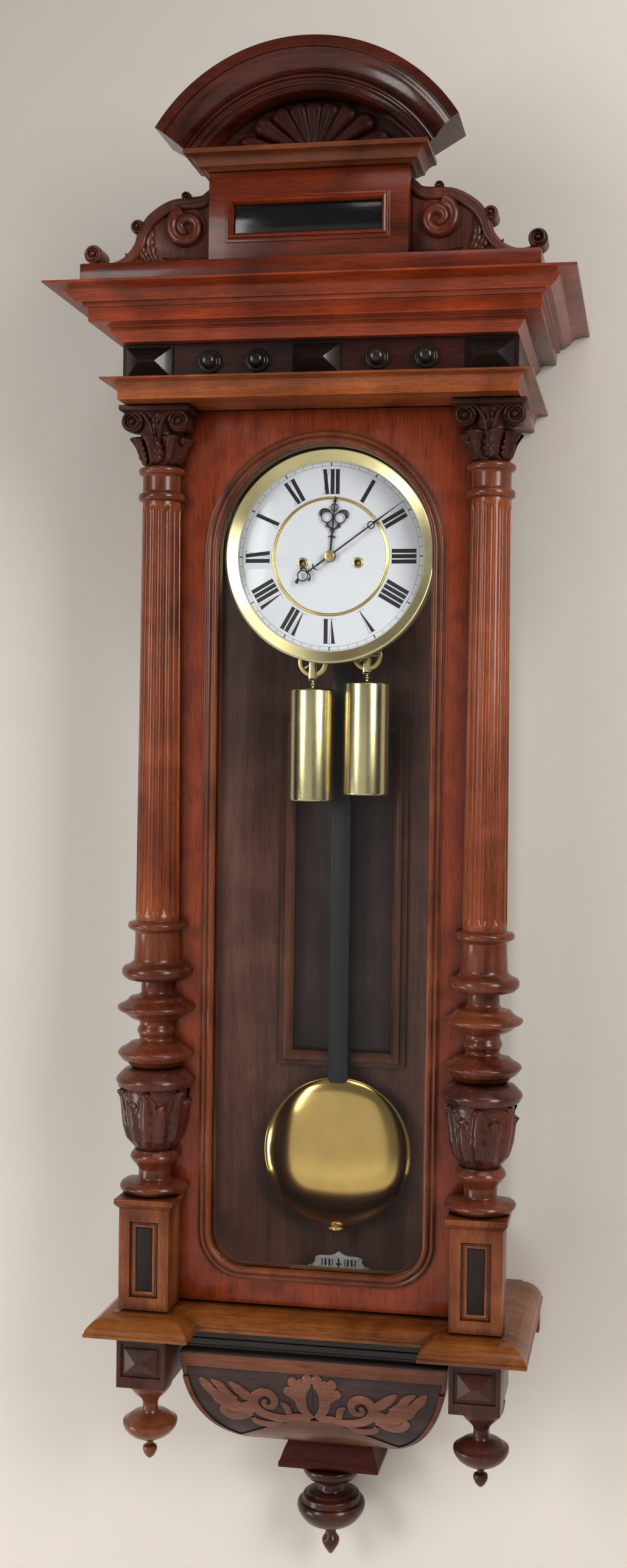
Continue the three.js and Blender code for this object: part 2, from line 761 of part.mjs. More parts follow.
function frieze() {
  const inner = friezeHalf - friezeThickness;
  const top = friezeFoot + friezeHeight;
  const middle = friezeFoot + friezeHeight / 2;
  const walls = block(-friezeHalf, friezeHalf, 0, friezeFront, friezeFoot, top);
  const hollow = block(-inner, inner, boardThickness, friezeFront - friezeThickness, friezeFoot - overlap,
    top + overlap);
  const bosses = [-bossSpread, 0, bossSpread].map((x) =>
    facetedBoss(x, middle, bossWidth, bossHeight, bossStand, bossRidge, friezeFront));
  const profile = [[0, friezeFront - overlap], [buttonRadius, friezeFront - overlap],
    ...scaled(buttonShares, buttonRadius, buttonStand, friezeFront)];
  const buttons = buttonPlaces.map((x) => turnedForward(profile, smallSides, x, middle));
  return union(walls.subtract(hollow), ...bosses, ...buttons);
}

// Crest
function crestRail() {
  return block(-railHalf, railHalf, crestBack, railFront, railFoot, railFoot + railHeight);
}

function crestTablet() {
  const body = block(-tabletHalf, tabletHalf, tabletBack, tabletFront, tabletFoot, tabletFoot + tabletHeight);
  const foot = tabletFoot + tabletFrameFoot;
  const outline = rectangleOutline(tabletFrameHalf - tabletFrameWidth, foot + tabletFrameWidth,
    foot + tabletFrameHeight - tabletFrameWidth);
  const section = [[0, tabletFront - overlap],
    ...scaled(tabletFrameShares, tabletFrameWidth, tabletFrameStand, tabletFront),
    [tabletFrameWidth, tabletFront - overlap]];
  return body.add(loopMoulding(outline, section));
}

function crestCornice() {
  const levels = scaled(crestCorniceShares, crestCorniceReach, crestCorniceHeight, crestCorniceFoot);
  const plan = (reach) => wallPlan(tabletHalf, tabletFront, tabletBack)(reach);
  return moulding(plan, levels);
}

function crestArch() {
  const section = [[0, archBack - archFront], ...archShares.map(([inShare, backShare]) => [-inShare * archFace,
    -backShare * archRelief]), [-archFace, archBack - archFront]];
  const rings = Array.from({ length: arcSteps + 1 }, (_, i) => {
    const angle = THREE.MathUtils.degToRad(archHalfAngle * ((2 * i) / arcSteps - 1));
    return section.map(([inward, back]) => {
      const radius = archRadius + inward;
      return new THREE.Vector3(radius * Math.sin(angle), -archFront - back, archCentre + radius * Math.cos(angle));
    });
  });
  const seat = block(-archRadius, archRadius, archBack - overlap, archFront + overlap, archCentre, archSeat);
  return loft(rings).subtract(seat);
}

function crestShell() {
  const radius = archRadius - archFace - fitGap;
  const reach = THREE.MathUtils.radToDeg(Math.acos((archSeat - archCentre) / radius));
  const outline = arcPoints(0, archCentre, radius, 90 + reach, 90 - reach, arcSteps);
  const face = shellBack + shellPlate;
  const plate = prism(outline, shellBack, face);
  const lobes = Array.from({ length: shellLobes }, (_, i) => {
    const angle = THREE.MathUtils.degToRad(shellSpread * ((2 * i) / (shellLobes - 1) - 1));
    const length = 1 / Math.hypot(Math.sin(angle) / shellHalf, Math.cos(angle) / shellHeight);
    const profile = shellLobeShares.map(([r, h]) => new THREE.Vector2(r * shellLobeRadius, h * length));
    const lobe = new THREE.LatheGeometry(profile, pegSides).rotateX(Math.PI / 2).rotateY(angle);
    return solid(lobe.translate(0, -face, archSeat + shellLobeRadius * shellLobeShares[1][0]));
  });
  const eyes = [-1, 1].map((side) =>
    disc(side * shellEyeSpread, archSeat + shellEyeRadius, shellEyeRadius, face - overlap, face + shellEyeStand));
  return union(plate, ...lobes, ...eyes).intersect(prism(outline, shellBack, archFront));
}

function crestScroll() {
  const length = railHalf - tabletHalf - fitGap;
  const start = tabletHalf + fitGap;
  const place = (xShare, zShare) => [start + xShare * length, tabletFoot + zShare * scrollHeight];
  const shape = new THREE.Shape();
  shape.moveTo(...place(0, 0));
  shape.lineTo(...place(scrollFootShare, 0));
  shape.lineTo(...place(...scrollShares[0]));
  shape.splineThru(scrollShares.slice(1).map((share) => new THREE.Vector2(...place(...share))));
  const front = scrollBack + scrollThickness;
  const discs = scrollDiscs.map(({ xShare, zShare, radius, stand }) =>
    disc(...place(xShare, zShare), radius, scrollBack, front + stand));
  return union(prism(shape, scrollBack, front), ...discs);
}

// Door
function openingOutline(reach) {
  const half = openingHalf + reach;
  const corner = openingCorner + reach;
  const foot = -openingDrop - reach + corner;
  return [
    ...arcPoints(0, 0, half, 0, 180, arcSteps),
    ...arcPoints(corner - half, foot, corner, 180, 270, cornerSteps),
    ...arcPoints(half - corner, foot, corner, 270, 360, cornerSteps),
  ];
}

function doorKnuckles(z) {
  const start = hingeLength / 2 + fitGap;
  return [-1, 1].map((side) => {
    const foot = z + side * start;
    const top = foot + side * hingeKnuckle;
    const arm = block(-hingeAxisHalf, -doorHalf + overlap, doorBack, doorBack + hingeRadius, Math.min(foot, top),
      Math.max(foot, top));
    const barrel = peg([-hingeAxisHalf, doorBack, foot], [-hingeAxisHalf, doorBack, top], hingeRadius);
    const bore = peg([-hingeAxisHalf, doorBack, foot - side * overlap],
      [-hingeAxisHalf, doorBack, foot + side * (hingePinLength + fitGap)], hingeBore);
    return arm.add(barrel).subtract(bore);
  });
}

function doorFrame() {
  const shoulder = doorFront - paneShoulder;
  const board = block(-doorHalf, doorHalf, doorBack, doorFront, -doorDrop, doorRise);
  const opening = prism(openingOutline(0), doorBack - overlap, doorFront + overlap);
  const rebate = prism(openingOutline(paneRebate), doorBack - overlap, shoulder);
  const section = [[0, doorFront - overlap], ...scaled(beadShares, beadWidth, beadStand, doorFront),
    [beadWidth, doorFront - overlap]];
  const bead = loopMoulding(openingOutline, section);
  const knuckles = hingeHeights.flatMap((z) => doorKnuckles(z));
  const pinDepth = caseDepth - hookPivotInset + hookReach;
  const bore = peg([doorHalf - hookPinSeat, pinDepth, -hookDrop], [doorHalf + overlap, pinDepth, -hookDrop],
    hookPinRadius + fitGap);
  return union(board.subtract(opening).subtract(rebate), bead, ...knuckles).subtract(bore);
}

function latchPin() {
  const depth = caseDepth - hookPivotInset + hookReach;
  return peg([doorHalf - hookPinSeat + fitGap, depth, -hookDrop],
    [hingeAxisHalf + hookThickness, depth, -hookDrop], hookPinRadius);
}

function doorGlass() {
  const front = doorFront - paneShoulder - fitGap;
  return prism(openingOutline(paneRebate - fitGap), front - paneThickness, front);
}

function hinge(z) {
  const side = -caseHalf - fitGap;
  const leafFront = caseDepth - hingeLeaf;
  const leaf = block(side - hingeLeaf, side, leafFront - hingeLeafDepth, leafFront, z - hingeLeafHeight / 2,
    z + hingeLeafHeight / 2);
  const half = hingeLength / 2;
  const strap = block(-hingeAxisHalf, side - hingeLeaf / 2, leafFront - hingeLeaf, leafFront + hingeLeaf / 2, z - half,
    z + half);
  const barrel = peg([-hingeAxisHalf, doorBack, z - half], [-hingeAxisHalf, doorBack, z + half], hingeRadius);
  const pin = peg([-hingeAxisHalf, doorBack, z - half - hingePinLength],
    [-hingeAxisHalf, doorBack, z + half + hingePinLength], hingePin);
  return union(leaf, strap, barrel, pin);
}

// A hook on the case side that drops over the door's pin.
function latchHook() {
  const inner = doorHalf + runGap;
  const outer = inner + hookThickness;
  const pivotDepth = caseDepth - hookPivotInset;
  const half = hookWidth / 2;
  const end = hookReach + hookThroat + hookWidth;
  const throat = hookPinRadius + runGap;
  const shape = new THREE.Shape([[-half, half], [-half, -half], [hookReach - throat, -half], [hookReach - throat, 0],
    [hookReach - throat / 2, throat], [hookReach + throat / 2, throat], [hookReach + throat, 0],
    [hookReach + throat, -half - hookThroat], [end, -half - hookThroat], [end, half + throat], [half, half]]
    .map(([x, z]) => new THREE.Vector2(x, z)));
  const settings = { depth: hookThickness, bevelEnabled: false };
  const arm = new THREE.ExtrudeGeometry(shape, settings)
    .rotateZ(THREE.MathUtils.degToRad(hookRaised))
    .rotateX(Math.PI / 2)
    .rotateZ(-Math.PI / 2)
    .translate(outer, -pivotDepth, -hookDrop);
  const post = peg([caseHalf + fitGap, pivotDepth, -hookDrop], [inner + overlap, pivotDepth, -hookDrop], hookPost);
  return solid(arm).add(post);
}

// Columns on the door
function columnProfile() {
  const spindleFoot = columnFoot + vaseHeight;
  const drumFoot = spindleFoot + spindleHeight;
  const shaftFoot = drumFoot + drumHeight;
  const neckFoot = shaftFoot + shaftHeight;
  return [
    [0, columnFoot],
    ...scaled(vaseShares, columnReach, vaseHeight, columnFoot),
    ...scaled(spindleShares, columnReach, spindleHeight, spindleFoot),
    ...scaled(drumShares, columnReach, drumHeight, drumFoot),
    [shaftCore, shaftFoot + overlap],
    [shaftCore, neckFoot - overlap],
    ...scaled(neckShares, columnReach, neckHeight, neckFoot),
    [0, columnRise],
  ];
}

function flutedShaft() {
  const foot = columnRise - neckHeight - shaftHeight;
  const ring = (radius, z) => Array.from({ length: fluteCount }, (_, i) =>
    fluteShares.map(([turnShare, sinkShare]) => {
      const angle = (2 * Math.PI * (i + turnShare)) / fluteCount;
      const reach = radius - sinkShare * fluteDepth;
      return new THREE.Vector3(columnSpread + reach * Math.cos(angle), reach * Math.sin(angle) - columnDepth, z);
    })).flat();
  return loft([ring(shaftFootRadius, foot - overlap), ring(shaftTopRadius, foot + shaftHeight + 2 * overlap)]);
}

function frontOfDoor(foot, top) {
  return block(0, 2 * columnSpread, facing, columnDepth + 2 * columnReach, foot, top);
}

function column() {
  const whole = turned(columnProfile(), columnSides, columnSpread, columnDepth).add(flutedShaft());
  return whole.intersect(frontOfDoor(columnFoot, columnRise));
}

function capital() {
  const foot = columnRise + fitGap;
  const height = doorRise - foot;
  const bellHeight = height - abacusHeight;
  const rings = capitalShares.map(([radiusShare, heightShare, leafShare]) =>
    Array.from({ length: capitalPoints }, (_, i) => {
      const angle = (2 * Math.PI * i) / capitalPoints;
      const reach = capitalRadius * radiusShare + capitalLeaf * leafShare * Math.cos(capitalLeaves * angle);
      return new THREE.Vector3(columnSpread + reach * Math.cos(angle), reach * Math.sin(angle) - columnDepth,
        foot + heightShare * (bellHeight + overlap));
    }));
  const abacusFoot = foot + bellHeight;
  const plan = (reach) => [
    [columnSpread - abacusHalf - reach, facing],
    [columnSpread + abacusHalf + reach, facing],
    [columnSpread + abacusHalf + reach, facing + abacusDepth + reach],
    [columnSpread - abacusHalf - reach, facing + abacusDepth + reach],
  ];
  const abacus = moulding(plan, [[-abacusInset, abacusFoot], [-abacusInset / 2, abacusFoot + abacusHeight / 3],
    [0, abacusFoot + abacusHeight / 2], [0, doorRise]]);
  const voluteZ = abacusFoot - voluteRadius + abacusHeight / 2;
  const volutes = [-1, 1].flatMap((side) => {
    const x = columnSpread + side * voluteSpread;
    return [disc(x, voluteZ, voluteRadius, facing, facing + voluteStand),
      disc(x, voluteZ, voluteEye, facing, facing + voluteStand + voluteEyeStand, pegSides)];
  });
  const leafTop = doorRise - abacusHeight / 2;
  const leafFront = facing + abacusDepth;
  const leafPlan = (front, z) => [[-leafHalf, facing], [leafHalf, facing], [leafHalf, front], [-leafHalf, front]]
    .map(([x, depth]) => new THREE.Vector3(columnSpread + x, -depth, z));
  const leaf = loft([leafPlan(leafFront - leafStand, leafTop - leafHeight), leafPlan(leafFront, leafTop)]);
  return union(loft(rings), abacus, leaf, ...volutes).intersect(frontOfDoor(foot, doorRise));
}

function pedestal() {
  const plan = (reach) => [
    [pedestalInner - reach, facing],
    [pedestalOuter + reach, facing],
    [pedestalOuter + reach, pedestalFront + reach],
    [pedestalInner - reach, pedestalFront + reach],
  ];
  const body = moulding(plan, scaled(pedestalShares, pedestalCap, pedestalTop + pedestalDrop, -pedestalDrop));
  const foot = -pedestalDrop + panelMarginZ;
  const top = -pedestalDrop + (pedestalTop + pedestalDrop) * pedestalShares[1][1] - panelMarginZ;
  const floor = pedestalFront - panelSink;
  const recess = block(pedestalInner + panelMarginX, pedestalOuter - panelMarginX, floor, pedestalFront + overlap, foot,
    top);
  const middle = (pedestalInner + pedestalOuter) / 2;
  const strip = block(middle - stripHalf, middle + stripHalf, floor - overlap, floor + stripStand, foot + stripMargin,
    top - stripMargin);
  return body.subtract(recess).add(strip);
}

// Base, drop blocks, apron and finials
function basePlan(reach) {
  return [
    [-pedestalOuter - reach, 0],
    [pedestalOuter + reach, 0],
    [pedestalOuter + reach, pedestalFront + reach],
    [pedestalInner - reach, pedestalFront + reach],
    [pedestalInner - reach, doorFront + reach],
    [-pedestalInner + reach, doorFront + reach],
    [-pedestalInner + reach, pedestalFront + reach],
    [-pedestalOuter - reach, pedestalFront + reach],
  ];
}

function baseMoulding() {
  const body = moulding(basePlan, scaled(baseShares, baseReach, baseHeight, baseFoot));
  const inner = caseHalf - boardThickness;
  const well = block(-inner, inner, -overlap, caseDepth, -floorDrop, -baseRise + overlap);
  const plate = block(-backPlateHalf, backPlateHalf, 0, boardThickness, baseFoot - backPlateHeight,
    baseFoot + overlap);
  return body.add(plate).subtract(well);
}

function dropBlock() {
  const body = block(blockInner, blockOuter, blockBack, blockFront, blockFoot, blockTop);
  const middle = (blockInner + blockOuter) / 2;
  const boss = facetedBoss(middle, (blockFoot + blockTop) / 2, 2 * blockBossHalf, blockBossHeight, blockBossStand,
    2 * fitGap, blockFront);
  return body.add(boss);
}

function dropFinial() {
  const top = blockFoot - fitGap;
  const profile = [...scaled(finialShares, finialRadius, finialHeight, top - finialHeight), [0, top]];
  return turned(profile, columnSides, finialSpread, finialDepth);
}

function apron() {
  const levels = [
    [apronNeckHalf, apronNeckFront, apronTop],
    [apronNeckHalf, apronNeckFront, apronTop - apronNeckHeight / 2],
    [apronNeckHalf + apronStep, apronNeckFront + apronStep, apronTop - apronNeckHeight / 2 - overlap],
    [apronNeckHalf + apronStep, apronNeckFront + apronStep, apronFace + apronStep],
    [apronHalf, apronFront, apronFace],
    ...Array.from({ length: arcSteps / 2 }, (_, i) => {
      const angle = (Math.PI * (i + 1)) / arcSteps;
      const bulge = Math.cos(angle);
      return [apronFootHalf + (apronHalf - apronFootHalf) * bulge,
        apronFootFront + (apronFront - apronFootFront) * bulge, apronFace - apronHeight * Math.sin(angle)];
    }),
  ];
  const body = loft(levels.map(([half, front, z]) => wallPlan(half, front)(0).map(([x, depth]) =>
    new THREE.Vector3(x, -depth, z))));
  const plateSeat = block(-backPlateHalf, backPlateHalf, -overlap, boardThickness + fitGap,
    baseFoot - backPlateHeight - fitGap, apronTop + overlap);
  return body.subtract(plateSeat);
}

function apronCap() {
  return moulding(wallPlan(capTopHalf, capTopFront), scaled(capShares, capReach, capHeight, capFoot));
}

function centreFinial() {
  const top = capFoot - fitGap;
  const profile = [...scaled(dropShares, dropRadius, dropHeight, top - dropHeight), [0, top]];
  const front = block(-dropRadius - overlap, dropRadius + overlap, 0, dropDepth + dropRadius + overlap, top - dropHeight, top);
  return turned(profile, columnSides, 0, dropDepth).intersect(front);
}

// Movement holder and dial
function seatBoard() {
  const top = -seatDrop + seatThickness;
  const back = boardThickness + fitGap;
  const board = block(-seatHalf, seatHalf, back, seatFront, -seatDrop, top);
  const notch = block(-seatNotchHalf, seatNotchHalf, back - overlap, seatNotchDepth, -seatDrop - overlap, top + overlap);
  const slots = [-1, 1].map((side) => {
    const x = side * winderSpread + drumLineRadius;
    return peg([x, lineDepth, -seatDrop - overlap], [x, lineDepth, top + overlap], gutSlot);
  });
  return board.subtract(union(notch, ...slots));
}

function arborHoles(back, front, radius, places) {
  return union(...places.map(([x, z]) => disc(x, z, radius, back - overlap, front + overlap, pegSides)));
}

function movementFrame() {
  const front = frontPlateDepth + plateThickness;
  const plates = [backPlateDepth, frontPlateDepth].map((back) =>
    block(-plateHalf, plateHalf, back, back + plateThickness, plateFoot, plateRise));
  const x = plateHalf - pillarInset;
  const pillars = [[-winderSpread, plateFoot + pillarInset], [winderSpread, plateFoot + pillarInset],
    [-x, plateRise - pillarInset], [x, plateRise - pillarInset]]
    .map(([px, pz]) => disc(px, pz, pillarRadius, backPlateDepth + overlap, front - overlap, pegSides));
  const hole = arborRadius + arborClearance;
  const through = arborHoles(backPlateDepth, front, hole, [[-winderSpread, -winderDrop], [winderSpread, -winderDrop],
    [0, escapeRise], [0, pivotRise]]);
  const strikeHole = arborHoles(backPlateDepth, backPlateDepth + plateThickness, hole, [[hammerX, -hammerDrop]]);
  const centreHole = arborHoles(frontPlateDepth, front, hole, [[0, 0]]);
  return union(...plates, ...pillars).subtract(union(through, strikeHole, centreHole));
}

function dial() {
  const back = dialFront - dialThickness;
  const plate = disc(0, 0, dialRadius, back, dialFront, ringSides);
  const ringInner = dialRingOuter - dialRingWidth;
  const ring = turnedForward([[ringInner, dialFront - overlap], [dialRingOuter, dialFront - overlap],
    [dialRingOuter, dialFront + dialRingStand / 2], [(ringInner + dialRingOuter) / 2, dialFront + dialRingStand],
    [ringInner, dialFront + dialRingStand / 2], [ringInner, dialFront - overlap]], ringSides, 0, 0);
  const feet = [-1, 1].flatMap((side) => [-1, 1].map((end) => disc(side * dialFootSpread, end * dialFootSpread, dialFoot,
    frontPlateDepth + plateThickness + fitGap, back + overlap, pegSides)));
  const holes = union(
    disc(0, 0, dialCentreHole, back - overlap, dialFront + overlap),
    disc(-winderSpread, -winderDrop, winderHole, back - overlap, dialFront + overlap),
    disc(winderSpread, -winderDrop, winderHole, back - overlap, dialFront + overlap),
  );
  return union(plate, ring, ...feet).subtract(holes);
}

function bezel() {
  const rim = dialRadius + fitGap;
  const lip = dialFront + fitGap;
  const profile = [[rim, bezelBack], [bezelOuter, bezelBack],
    ...scaled(bezelShares, bezelInner - bezelOuter, lip + bezelLip - bezelFront, bezelFront)
      .map(([reach, depth]) => [bezelOuter + reach, depth]),
    [bezelInner, lip], [rim, lip], [rim, bezelBack]];
  return turnedForward(profile, ringSides, 0, 0);
}

// Drums, weights, pulleys and gut
function drum() {
  const back = lineDepth - drumWidth / 2;
  const front = lineDepth + drumWidth / 2;
  const body = drumLineRadius - gutRadius - gutClearance;
  const flange = drumLineRadius + drumFlangeRise;
  const profile = [[0, backPlateDepth], [arborRadius, backPlateDepth], [arborRadius, back - drumFlange],
    [flange, back - drumFlange], [flange, back], [body, back], [body, front],
    [greatWheelRadius, front], [greatWheelRadius, front + greatWheelThickness],
    [arborRadius, front + greatWheelThickness], [arborRadius, winderReach], [0, winderReach]];
  return turnedForward(profile, columnSides, winderSpread, -winderDrop);
}

function weight(drop) {
  const top = -drop;
  const body = turned(scaled(weightShares, weightRadius, weightHeight, top - weightHeight), columnSides, 0, lineDepth);
  const pulleyZ = top + pulleyAboveWeight;
  const inner = pulleyHalf + stirrupClearance;
  const outer = inner + stirrupThickness;
  const bridgeTop = pulleyZ - pulleyOuter - stirrupClearance;
  const bridgeFoot = bridgeTop - stirrupDrop;
  const arms = [-1, 1].map((side) => {
    const [near, far] = [inner, outer].map((reach) => lineDepth + side * reach);
    return block(-stirrupHalf, stirrupHalf, Math.min(near, far), Math.max(near, far), bridgeFoot, pulleyZ + stirrupHalf);
  });
  const bridge = block(-stirrupHalf, stirrupHalf, lineDepth - outer, lineDepth + outer, bridgeFoot, bridgeTop);
  const axle = peg([0, lineDepth - outer, pulleyZ], [0, lineDepth + outer, pulleyZ], axleRadius);
  const stem = peg([0, lineDepth, top - overlap], [0, lineDepth, bridgeFoot + overlap], hookStem);
  return union(body, stem, bridge, axle, ...arms);
}

function pulley(drop) {
  const groove = pulleyLineRadius - gutRadius - gutClearance;
  const back = lineDepth - pulleyHalf;
  const front = lineDepth + pulleyHalf;
  const profile = [[pulleyBore, back], [pulleyOuter, back], [pulleyOuter, back + pulleyRim],
    [groove, lineDepth - gutRadius - gutClearance], [groove, lineDepth + gutRadius + gutClearance],
    [pulleyOuter, front - pulleyRim], [pulleyOuter, front], [pulleyBore, front], [pulleyBore, back]];
  return turnedForward(profile, columnSides, 0, -drop + pulleyAboveWeight);
}

function cordAlong(points) {
  const rings = points.map((point, i) => {
    const before = points[Math.max(i - 1, 0)];
    const after = points[Math.min(i + 1, points.length - 1)];
    const way = after.clone().sub(before).normalize();
    const across = new THREE.Vector3(0, 1, 0);
    const side = way.clone().cross(across);
    return Array.from({ length: cordSides }, (_, k) => {
      const angle = (2 * Math.PI * k) / cordSides;
      return point.clone().addScaledVector(across, gutRadius * Math.cos(angle))
        .addScaledVector(side, gutRadius * Math.sin(angle));
    });
  });
  return loft(rings);
}

// The fall of the line below the seat board, round the pulley and back up to its post.
function gutLine(drop) {
  const z = -drop + pulleyAboveWeight;
  const at = (x, height) => new THREE.Vector3(x, -lineDepth, height);
  const loop = arcPoints(0, z, pulleyLineRadius, 0, -180, arcSteps / 2).map(([x, height]) => at(x, height));
  const seat = -seatDrop - fitGap;
  return cordAlong([at(pulleyLineRadius, seat), ...loop, at(-pulleyLineRadius, seat)]);
}

function gutTop() {
  const at = (height) => new THREE.Vector3(pulleyLineRadius, -lineDepth, height);
  return cordAlong([at(-winderDrop), at(-seatDrop)]);
}

// Hands
function handBlade(length, tail, back, angle, bars, rings) {
  const front = back + handThickness;
  const outline = [[handStem, -tail], [handStem, length / 2], [handTip, length], [-handTip, length],
    [-handStem, length / 2], [-handStem, -tail]];
  const loops = rings.map(({ x, z, radius }) => disc(x, z, radius, back, front));
  const crossbars = bars.map((z) => block(-handBar, handBar, back, front, z - handBarHalf, z + handBarHalf));
  const holes = rings.filter(({ hole }) => hole > 0)
    .map(({ x, z, hole }) => disc(x, z, hole, back - overlap, front + overlap));
  const collet = disc(0, 0, handCollet, back, front);
  return union(prism(outline, back, front), ...loops, ...crossbars).subtract(union(...holes)).add(collet)
    .rotate([0, angle, 0]);
}

function hourHand() {
  const pipe = disc(0, 0, hourPipe, handPipeBack, hourHandBack + handThickness);
  const bore = disc(0, 0, hourPipeBore, handPipeBack - overlap, hourHandBack + handThickness + overlap);
  return handBlade(hourHandLength, hourHandTail, hourHandBack, hourHandAngle, hourBars, hourRings).add(pipe)
    .subtract(bore);
}

function minuteHand() {
  const front = minuteHandBack + handThickness;
  const arbor = disc(0, 0, arborRadius, frontPlateDepth - overlap, front + handThickness, pegSides);
  return handBlade(minuteHandLength, minuteHandTail, minuteHandBack, minuteHandAngle, minuteBars, minuteRings)
    .add(arbor);
}

// Escapement
function escapeWheel() {
  const outline = Array.from({ length: escapeTeeth }, (_, i) => {
    const angle = (2 * Math.PI * i) / escapeTeeth;
    const next = (2 * Math.PI * (i + 3 / 4)) / escapeTeeth;
    return [[escapeRadius * Math.sin(angle), escapeRise + escapeRadius * Math.cos(angle)],
      [escapeRoot * Math.sin(next), escapeRise + escapeRoot * Math.cos(next)]];
  }).flat();
  const wheel = prism(outline, trainDepth - escapeThickness / 2, trainDepth + escapeThickness / 2);
  return wheel.add(disc(0, escapeRise, arborRadius, backPlateDepth, frontPlateDepth + plateThickness, pegSides));
}

function anchor() {
  const shoulder = pivotRise - anchorSlope;
  const outline = [[-anchorHalf, shoulder], [-anchorHalf, shoulder - anchorPalletDrop],
    [anchorWidth / 2 - anchorHalf, shoulder - anchorPalletDrop], [anchorWidth - anchorHalf, shoulder],
    [0, pivotRise - anchorWidth], [anchorHalf - anchorWidth, shoulder],
    [anchorHalf - anchorWidth / 2, shoulder - anchorPalletDrop], [anchorHalf, shoulder - anchorPalletDrop],
    [anchorHalf, shoulder], [anchorWidth / 2, pivotRise + anchorWidth], [-anchorWidth / 2, pivotRise + anchorWidth]];
  const arms = prism(outline, trainDepth - anchorThickness / 2, trainDepth + anchorThickness / 2);
  const arbor = disc(0, pivotRise, arborRadius, crutchBack, frontPlateDepth + plateThickness, pegSides);
  const hub = disc(0, pivotRise, anchorHub, trainDepth - anchorThickness, trainDepth + anchorThickness, pegSides);
  const crutch = block(-crutchHalf, crutchHalf, crutchBack, crutchBack + crutchThickness, pivotRise - crutchLength,
    pivotRise + crutchHalf);
  const pinZ = pivotRise - crutchLength + crutchHalf;
  const pin = disc(0, pinZ, crutchPin, pendulumDepth, crutchBack + overlap, pegSides);
  return union(arms, arbor, hub, crutch, pin);
}

// Pendulum
function pendulumCock() {
  const back = boardThickness + fitGap;
  const foot = pivotRise + runGap;
  const plate = block(-cockHalf, cockHalf, back, back + cockThickness, foot, foot + cockHeight);
  const arm = block(-cockArmHalf, cockArmHalf, back, cockReach, foot, foot + cockArmHeight);
  return plate.add(arm);
}

function pendulumRod() {
  const back = pendulumDepth - rodThickness / 2;
  const front = pendulumDepth + rodThickness / 2;
  const rodTop = pivotRise - springLength;
  const rodFoot = -bobDrop + bobRadius - bobOverlap;
  const rod = block(-rodHalf, rodHalf, back, front, rodFoot + rodHalf, rodTop);
  const end = disc(0, rodFoot + rodHalf, rodHalf, back, front);
  const spring = block(-springHalf, springHalf, pendulumDepth - springThickness, pendulumDepth + springThickness,
    rodTop - overlap, pivotRise);
  const tail = peg([0, pendulumDepth, rodFoot + rodHalf], [0, pendulumDepth, -bobDrop - bobRadius - threadLength],
    threadRadius);
  const slotZ = pivotRise - crutchLength + crutchHalf;
  const slotHalf = crutchPin + fitGap;
  const slot = block(-slotHalf, slotHalf, back - overlap, front + overlap, slotZ - rodSlot / 2, slotZ + rodSlot / 2);
  return union(rod, end, spring, tail).subtract(slot);
}

function pendulumBob() {
  const face = scaled(bobShares, bobRadius, bobHalfThickness, pendulumDepth);
  const rear = scaled(bobShares, bobRadius, -bobHalfThickness, pendulumDepth).toReversed();
  const lens = turnedForward([...rear, ...face], ringSides, 0, -bobDrop);
  const clear = threadRadius + fitGap;
  const slotHalf = rodThickness / 2 + fitGap;
  const mouth = block(-rodHalf - fitGap, rodHalf + fitGap, pendulumDepth - slotHalf, pendulumDepth + slotHalf,
    -bobDrop + bobRadius - bobOverlap - fitGap, -bobDrop + bobRadius + overlap);
  const bore = peg([0, pendulumDepth, -bobDrop + bobRadius], [0, pendulumDepth, -bobDrop - bobRadius - overlap], clear);
  return lens.subtract(mouth).subtract(bore);
}

function ratingNut() {
  const top = -bobDrop - bobRadius - fitGap;
  const foot = top - nutHeight;
  const bore = threadRadius + fitGap;
  const profile = [[bore, foot], ...scaled(nutShares, nutRadius, nutHeight, foot), [bore, top], [bore, foot]];
  return turned(profile, smallSides, 0, pendulumDepth);
}

function beatPlate() {
  const back = boardThickness + fitGap;
  const foot = -beatCentreDrop - beatHeight / 2;
  const top = foot + beatHeight;
  const outline = [[-beatHalf, foot], [beatHalf, foot], [beatTopHalf, top], [beatPoint, top], [0, top + beatPoint],
    [-beatPoint, top], [-beatTopHalf, top]];
  return prism(outline, back, back + beatThickness);
}

// Gong and hammer
function gong() {
  const steps = gongTurns * gongTurnSteps;
  const rings = Array.from({ length: steps + 1 }, (_, i) => {
    const angle = (2 * Math.PI * i) / gongTurnSteps;
    const radius = gongInner + ((gongOuter - gongInner) * i) / steps;
    const outward = new THREE.Vector3(Math.cos(angle), 0, Math.sin(angle));
    const centre = outward.clone().multiplyScalar(radius).add(new THREE.Vector3(gongX, -gongDepth, gongRise));
    return Array.from({ length: cordSides }, (_, k) => {
      const turn = (2 * Math.PI * k) / cordSides;
      return centre.clone().addScaledVector(outward, gongWire * Math.cos(turn))
        .add(new THREE.Vector3(0, gongWire * Math.sin(turn), 0));
    });
  });
  const mount = block(gongX - gongBlockHalf, gongX + gongInner + gongWire, boardThickness + fitGap, gongDepth + gongBlockHalf,
    gongRise - gongBlockHalf, gongRise + gongBlockHalf);
  return loft(rings).add(mount);
}

function hammer() {
  const tip = hammerArm - hammerDrop;
  const headStart = gongX + gongOuter + gongWire + hammerGap;
  const arbor = disc(hammerX, -hammerDrop, arborRadius, gongDepth - hammerArmHalf, backPlateDepth + plateThickness, pegSides);
  const arm = block(hammerX - hammerArmHalf, hammerX + hammerArmHalf, gongDepth - hammerArmHalf,
    gongDepth + hammerArmHalf, -hammerDrop, tip);
  const head = peg([headStart, gongDepth, tip], [headStart + hammerHeadLength, gongDepth, tip], hammerHeadRadius);
  return union(arbor, arm, head);
}

